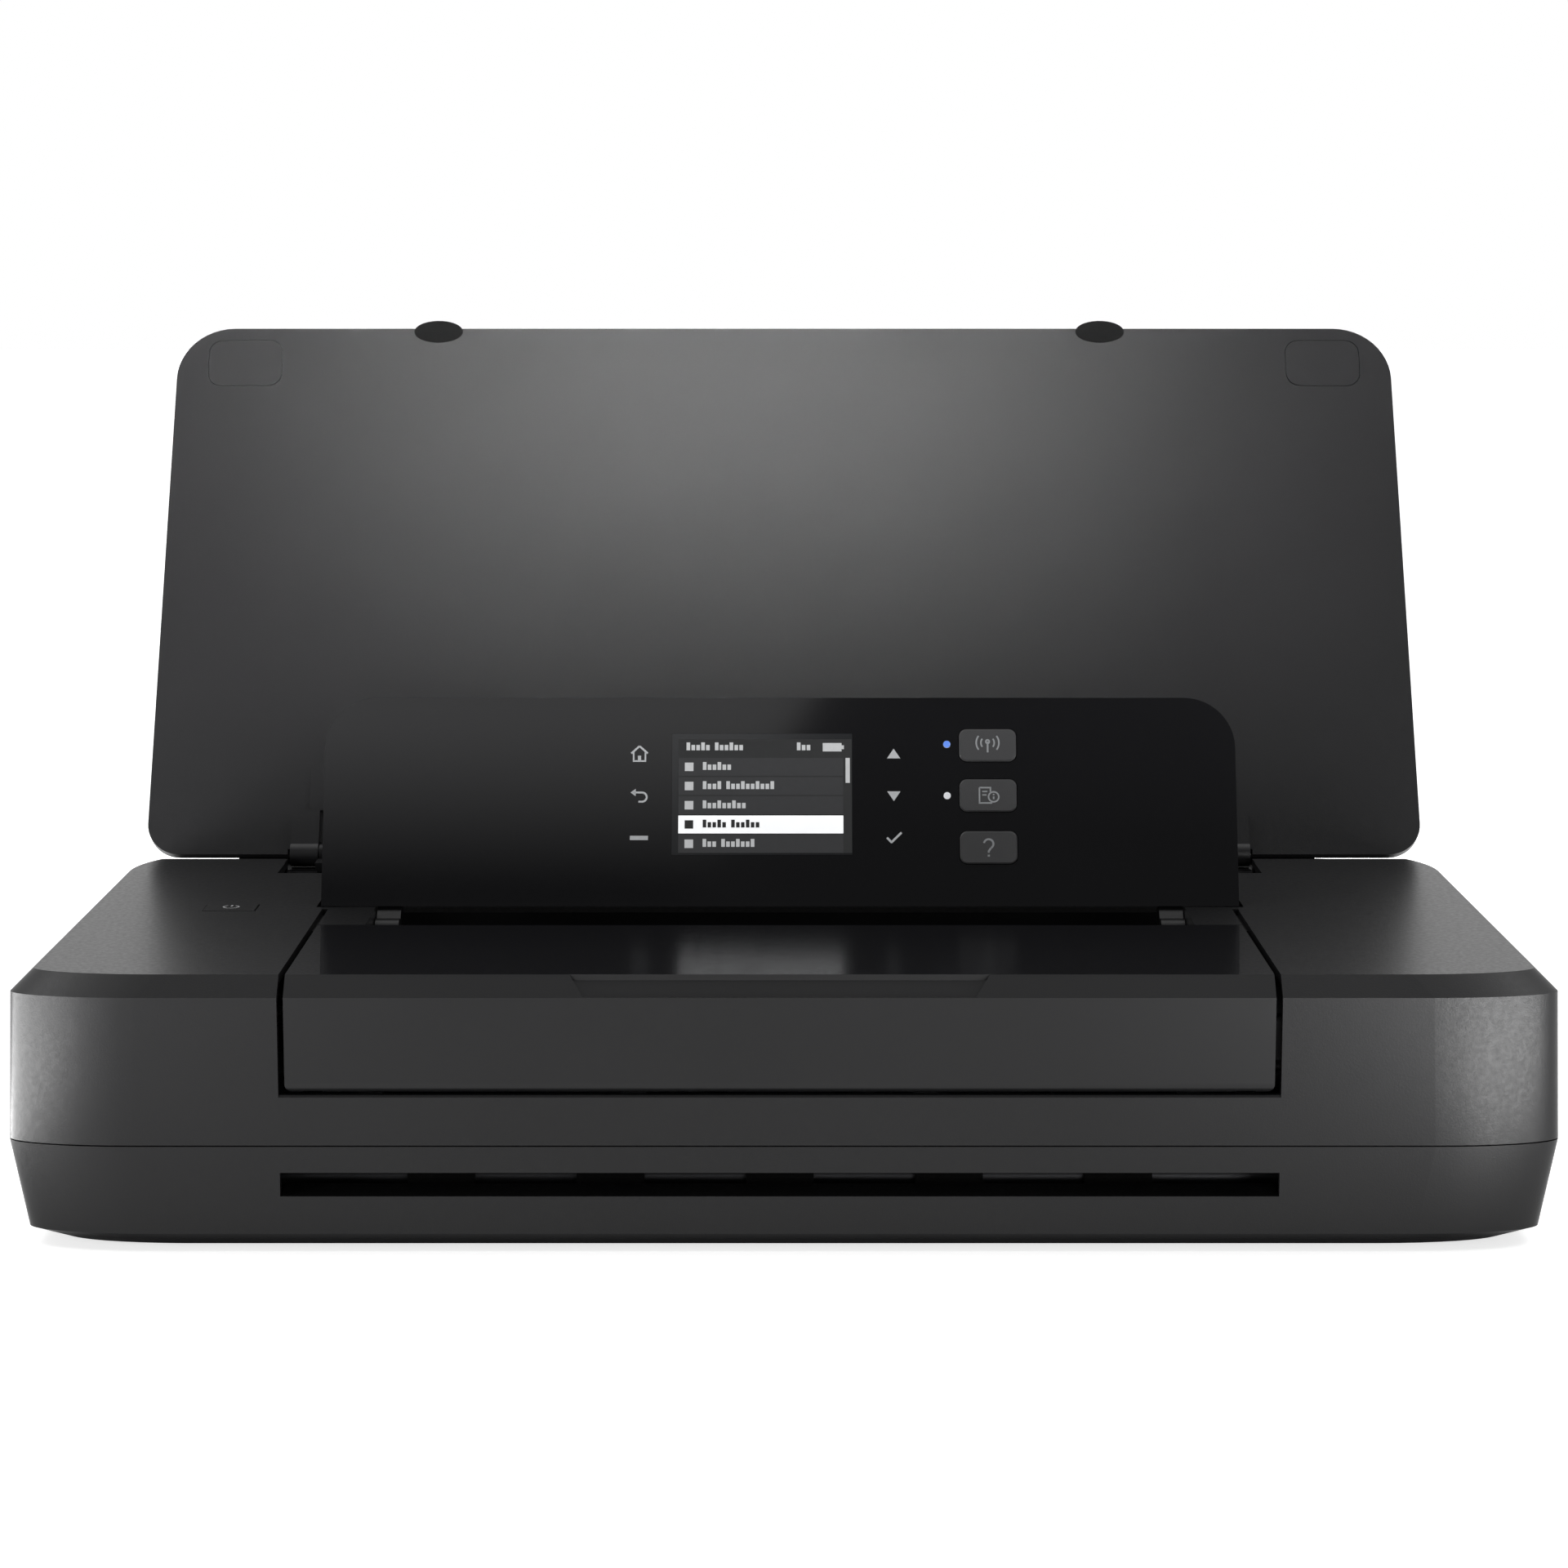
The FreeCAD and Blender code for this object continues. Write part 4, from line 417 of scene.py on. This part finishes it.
# Screen: dark ground, a status bar, five rows with one picked out, and a scroll bar; blocks stand for letters
picture = screen + (0.8 * panel_across - 0.5 * panel_up) * MM
half_screen = display_width / 2 - 0.9
high_screen = display_height / 2 - 1.0
status_height = 4.9
row_pitch = 5.0
row_height = row_pitch - 0.35
row_tops = [high_screen - status_height - row_pitch * index for index in range(5)]
picked_row = 3
scroll_width = 1.6
row_end = half_screen - scroll_width - 0.6
letter_pitch = 1.25
letter_width = 0.92
letter_counts = ((6,), (4, 10), (9,), (5, 6), (3, 7))
status_counts = (5, 6, 3)


def row_bar(top):
    """Bar behind one row, cut off at the foot of the screen."""
    return block(-half_screen, row_end, max(top - row_height, -high_screen), top)


def word(start, middle, count):
    """Small blocks in place of the letters of one word: every third one is tall."""
    return [block(start + letter_pitch * index, start + letter_pitch * index + letter_width, middle - 0.8,
                  middle + (1.25 if index % 3 == 0 else 0.6)) for index in range(count)]


def words(start, middle, counts):
    """Words one after another, a letter's width apart."""
    strokes = []
    for count in counts:
        strokes += word(start, middle, count)
        start += letter_pitch * (count + 0.8)
    return strokes


def row_words(index):
    """A small mark and the words of one row."""
    middle = row_tops[index] - row_height / 2
    left = -half_screen + 1.6
    return [block(left, left + 2.2, middle - 1.1, middle + 1.1)] + words(left + 4.6, middle, letter_counts[index])


ground = [block(-half_screen, half_screen, -high_screen, high_screen)]
bars = [row_bar(top) for top in row_tops]
plain_words = [stroke for index in range(len(row_tops)) if index != picked_row for stroke in row_words(index)]
status_middle = high_screen - 2.1
status = words(-half_screen + 2.0, status_middle, status_counts[:2])
status += words(half_screen - 14.0, status_middle, status_counts[2:])
status += [block(half_screen - 7.4, half_screen - 2.6, status_middle - 1.1, status_middle + 1.1),
           block(half_screen - 2.6, half_screen - 2.0, status_middle - 0.5, status_middle + 0.5)]
scroll = [block(half_screen - scroll_width, half_screen - 0.5, row_tops[0] - 6.5, row_tops[0])]
layers = (("screen_ground", ground, screen_dark), ("screen_rows", bars, screen_row),
          ("screen_picked", [row_bar(row_tops[picked_row])], screen_white),
          ("screen_words", plain_words + status + scroll, screen_letter),
          ("screen_picked_words", row_words(picked_row), screen_dark))
for step, (name, strokes, finish) in enumerate(layers):
    signs(name, strokes, picture, panel_across, panel_up, sign_lift * (1 + step / 2), finish, "panel")


def antenna_icon():
    """Mast between two pairs of waves."""
    strokes = [line(0, -1.9, 0, 0.9, 0.45), arc(0, 0.9, 0.45, 0, 360, 0.4)]
    for radius in (1.7, 2.9):
        strokes.append(arc(0, 0.6, radius, -38, 38, 0.4))
        strokes.append(arc(0, 0.6, radius, 142, 218, 0.4))
    return strokes


def page_icon():
    """Sheet outline with lines and a small round mark."""
    return [line(-2.2, -2.0, -2.2, 2.0, 0.4),
            line(-2.2, 2.0, 0.6, 2.0, 0.4),
            line(-2.4, -2.0, 1.0, -2.0, 0.4),
            line(0.6, 2.2, 0.6, 0.9, 0.4),
            line(-1.5, 1.0, -0.2, 1.0, 0.35),
            line(-1.5, 0.1, -0.4, 0.1, 0.35),
            arc(1.4, -0.4, 1.3, 0, 360, 0.4, 32),
            line(1.4, -1.0, 1.4, -0.3, 0.4),
            line(1.4, 0.0, 1.4, 0.4, 0.4)]


def question_icon():
    """Hook and dot."""
    return [arc(0, 0.9, 1.2, 170, -60, 0.5),
            line(0.55, -0.2, 0, -1.0, 0.5),
            line(0, -0.9, 0, -1.4, 0.5),
            line(0, -1.9, 0, -2.4, 0.55)]


def power_icon():
    """Broken ring with an upright stroke in its gap."""
    return [arc(0, 0, 1.9, 120, 420, 0.5), line(0, 0.4, 0, 2.5, 0.5)]


for key, body, strokes in (("wireless_key", "wireless_button", antenna_icon()),
                           ("info_key", "info_button", page_icon()),
                           ("help_key", "help_button", question_icon())):
    signs(key + "_sign", strokes, face_middle(key, panel_out), panel_across, panel_up, sign_lift, sign_grey, body)

# Glow of the upper light
lamp = face_middle("status_lights", panel_out)
lamp_radius = np.ptp(node_span("status_lights", panel_across)) / MM / 2
lamp_rise = np.ptp(node_span("status_lights", panel_up)) / MM / 2 - lamp_radius
signs("upper_light_glow", [arc(0, lamp_rise, lamp_radius / 2, 0, 360, lamp_radius)], lamp, panel_across, panel_up,
      sign_lift, light_blue, "panel")


# Dark strip on the ledge behind the lid, as painted shade: it puts black into the notches behind the lid
def shade_strip(name, start, end, middle_y, low_z, width, height, finish, body):
    """Dark strip along X that stands in for shade: its section is a rounded square, whose y and z are the signed
    square roots of the cosine and sine of one turn times half the width and half the height, drawn in a little at
    both ends and closed there."""
    turn = np.linspace(0, 2 * np.pi, 32, endpoint=False)
    section_y = np.sign(np.cos(turn)) * np.sqrt(np.abs(np.cos(turn))) * width / 2
    section_z = np.sign(np.sin(turn)) * np.sqrt(np.abs(np.sin(turn))) * height / 2
    along = np.array([start, start + width / 4, end - width / 4, end])
    size = np.array([0.8, 1.0, 1.0, 0.8])
    places = np.stack([np.repeat(along, len(turn)), middle_y + np.outer(size, section_y).ravel(),
                       low_z + height / 2 + np.outer(size, section_z).ravel()], axis=1)
    ring = np.arange(len(turn))
    following = np.roll(ring, -1)
    steps = np.arange(len(along) - 1)[:, None] * len(turn)
    next_steps = steps + len(turn)
    sides = np.stack([steps + ring, steps + following, next_steps + following, next_steps + ring], axis=2)
    last = (len(along) - 1) * len(turn)
    ends = [ring[::-1], last + ring]
    add_piece(name, places, list(sides.reshape(-1, 4)) + ends, finish, body)


shade_strip_left = -150.0 * MM
shade_strip_right = 146.0 * MM
shade_strip_behind_front = 176.5 * MM
shade_strip_ledge = 61.1 * MM
shade_strip_width = 2.6 * MM
shade_strip_height = 2.9 * MM
# Painted shade: a black strip behind the notches of the ledge, which would otherwise show the backdrop through
# them
shade_strip("ledge_shade_strip", shade_strip_left, shade_strip_right, front_y + shade_strip_behind_front, shade_strip_ledge, shade_strip_width, shade_strip_height,
           rubber, "case")

signs("power_sign", power_icon(), face_middle("power_button", Z_AXIS), X_AXIS, Y_AXIS, sign_lift, sign_dim,
      "power_switch")


# Floor, light and camera
def soft_light(name, place, aim, width, height, power, spread=180.0):
    """Rectangular studio light that looks at a point; a spread under 180 degrees narrows its beam."""
    lamp_data = bpy.data.lights.new(name, "AREA")
    lamp_data.shape = "RECTANGLE"
    lamp_data.size = width
    lamp_data.size_y = height
    lamp_data.energy = power
    lamp_data.spread = math.radians(spread)
    lamp_object = bpy.data.objects.new(name, lamp_data)
    lamp_object.location = place
    lamp_object.rotation_euler = (Vector(aim) - Vector(place)).to_track_quat("-Z", "Y").to_euler()
    lamp_object.visible_camera = False
    bpy.context.collection.objects.link(lamp_object)


def stage_sheet(name, corners, material):
    """Flat four-cornered sheet of the studio."""
    sheet = new_object(name, corners, [(0, 1, 2, 3)], material)


# World: a white wall behind and beside the printer and a dim room in front of it
world = bpy.data.worlds.new("studio")
bpy.context.scene.world = world
world.use_nodes = True
world_tree = world.node_tree
room_dim = 0.10
wall_start = -0.25
wall_full = 0.45
room = world_tree.nodes["Background"]
backwards = place_parts(world_tree, "Generated")[1]
wall = map_range(world_tree, backwards, wall_start, wall_full, room_dim, 1.0)
world_path = world_tree.nodes.new("ShaderNodeLightPath")
room_strength = highest(world_tree, [wall, world_path.outputs["Is Camera Ray"],
                                     world_path.outputs["Is Transmission Ray"]])
room.inputs["Color"].default_value = (1.0, 1.0, 1.0, 1.0)
world_tree.links.new(room_strength, room.inputs["Strength"])

# Floor: white to the eye and in reflections, with the printer's shadow on it: a real shadow in its lit paint, and
# a painted shadow where its glow is taken away under the printer
floor_half = 6.0
floor_glow = 0.72
floor_drop = 0.0002
foot_corner = 30.0 * MM
foot_fade = 5.0 * MM
foot_inset_seen = 14.0 * MM
foot_inset_mirrored = 2.0 * MM
foot_low, foot_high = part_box("base_shell")
floor_paint, floor_shader = new_material("floor_paint")
floor_tree = floor_paint.node_tree
floor_shader.inputs["Base Color"].default_value = (0.86, 0.86, 0.86, 1.0)
floor_shader.inputs["Roughness"].default_value = 0.8
floor_light = floor_tree.nodes.new("ShaderNodeEmission")
floor_path = floor_tree.nodes.new("ShaderNodeLightPath")
floor_mirrored = highest(floor_tree, [floor_path.outputs["Is Glossy Ray"],
                                      floor_path.outputs["Is Transmission Ray"]])
floor_plane = place_parts(floor_tree, "Object")[:2]


def glow_with_painted_shadow(inset):
    """Glow of the floor, with a painted shadow: none under the printer's rounded outline drawn in by inset, and
    full a little beyond.
    """
    beyond = []
    for socket, low, high in zip(floor_plane, foot_low, foot_high):
        offset = calculate(floor_tree, "SUBTRACT", socket, (low + high) / 2)
        straight = (high - low) / 2 - inset - foot_corner
        past = calculate(floor_tree, "SUBTRACT", calculate(floor_tree, "ABSOLUTE", offset), straight)
        beyond.append(calculate(floor_tree, "POWER", calculate(floor_tree, "MAXIMUM", past, 0.0), 2.0))
    reach = calculate(floor_tree, "SQRT", calculate(floor_tree, "ADD", *beyond))
    return map_range(floor_tree, reach, foot_corner, foot_corner + foot_fade, 0.0, floor_glow)


# Painted shadow: the glow is taken away deep under the printer for the eye, and right up to its outline in
# reflections
seen_glow = calculate(floor_tree, "MULTIPLY", floor_path.outputs["Is Camera Ray"], glow_with_painted_shadow(foot_inset_seen))
mirrored_glow = calculate(floor_tree, "MULTIPLY", floor_mirrored, glow_with_painted_shadow(foot_inset_mirrored))
floor_tree.links.new(highest(floor_tree, [seen_glow, mirrored_glow]), floor_light.inputs["Strength"])
floor_sum = floor_tree.nodes.new("ShaderNodeAddShader")
floor_tree.links.new(floor_shader.outputs[0], floor_sum.inputs[0])
floor_tree.links.new(floor_light.outputs[0], floor_sum.inputs[1])
floor_tree.links.new(floor_sum.outputs[0], floor_tree.nodes["Material Output"].inputs["Surface"])
stage_sheet("studio_floor", [(-floor_half, -floor_half, -floor_drop), (floor_half, -floor_half, -floor_drop),
                             (floor_half, floor_half, -floor_drop), (-floor_half, floor_half, -floor_drop)],
            floor_paint)

# Card with a slanted right end behind the camera, brighter towards its top, for the sheen on the control panel
card_y = -1.22
card_low = 0.765
card_high = 1.0
card_left = -0.36
card_right_low = -0.060
card_right_high = 0.062
fade_low = 0.775
fade_high = 0.90
card_dark = 0.02
card_bright = 0.95
card_paint, card_shader = new_material("card_paint")
card_tree = card_paint.node_tree
card_height = place_parts(card_tree, "Object")[2]
card_fade = map_range(card_tree, card_height, fade_low, fade_high, card_dark, card_bright)
card_light = card_tree.nodes.new("ShaderNodeEmission")
card_tree.links.new(card_fade, card_light.inputs["Strength"])
card_tree.links.new(card_light.outputs[0], card_tree.nodes["Material Output"].inputs["Surface"])
stage_sheet("sheen_card", [(card_left, card_y, card_low), (card_left, card_y, card_high),
                           (card_right_high, card_y, card_high), (card_right_low, card_y, card_low)], card_paint)

# Lamps, with their places, the points they look at, their sizes in metres and their powers in watts
lid_spot = (-0.02, 0.15, 0.235)
left_corner = (-0.17, -0.12, 0.04)
right_corner = (0.17, -0.12, 0.04)
left_deck = (-0.17, -0.10, 0.06)
right_deck = (0.17, -0.10, 0.06)
middle = (0.0, 0.0, 0.08)
soft_light("lid_light", (-0.04, -0.75, 1.15), lid_spot, 0.24, 0.12, 0.118, 13.0)
soft_light("left_light", (-0.98, -1.02, 0.35), left_corner, 0.4, 0.6, 3.0)
soft_light("right_light", (0.53, -1.38, 0.35), right_corner, 0.4, 0.6, 2.6)
soft_light("left_high_light", (-0.85, -0.10, 1.10), left_deck, 0.5, 0.4, 2.3)
soft_light("right_high_light", (0.85, -0.10, 1.10), right_deck, 0.5, 0.4, 1.9)
soft_light("left_low_light", (-0.455, -0.20, 0.004), (-0.455, -0.20, 1.0), 0.41, 0.32, 6.8)
soft_light("right_low_light", (0.33, -0.335, 0.004), (0.33, -0.335, 1.0), 0.26, 0.24, 3.6)
soft_light("top_light", (0.0, 0.1, 1.9), middle, 2.0, 1.4, 6.0)

camera_data = bpy.data.cameras.new("photo_camera")
camera_data.lens = camera_lens
camera_data.sensor_width = camera_sensor
camera_data.clip_end = 20.0
camera = bpy.data.objects.new("photo_camera", camera_data)
camera.location = (0.0, front_y - camera_distance, camera_height)
camera.rotation_euler = (math.radians(90.0 - camera_pitch), 0.0, 0.0)
bpy.context.collection.objects.link(camera)
bpy.context.scene.camera = camera
bpy.context.scene.view_settings.view_transform = "Standard"
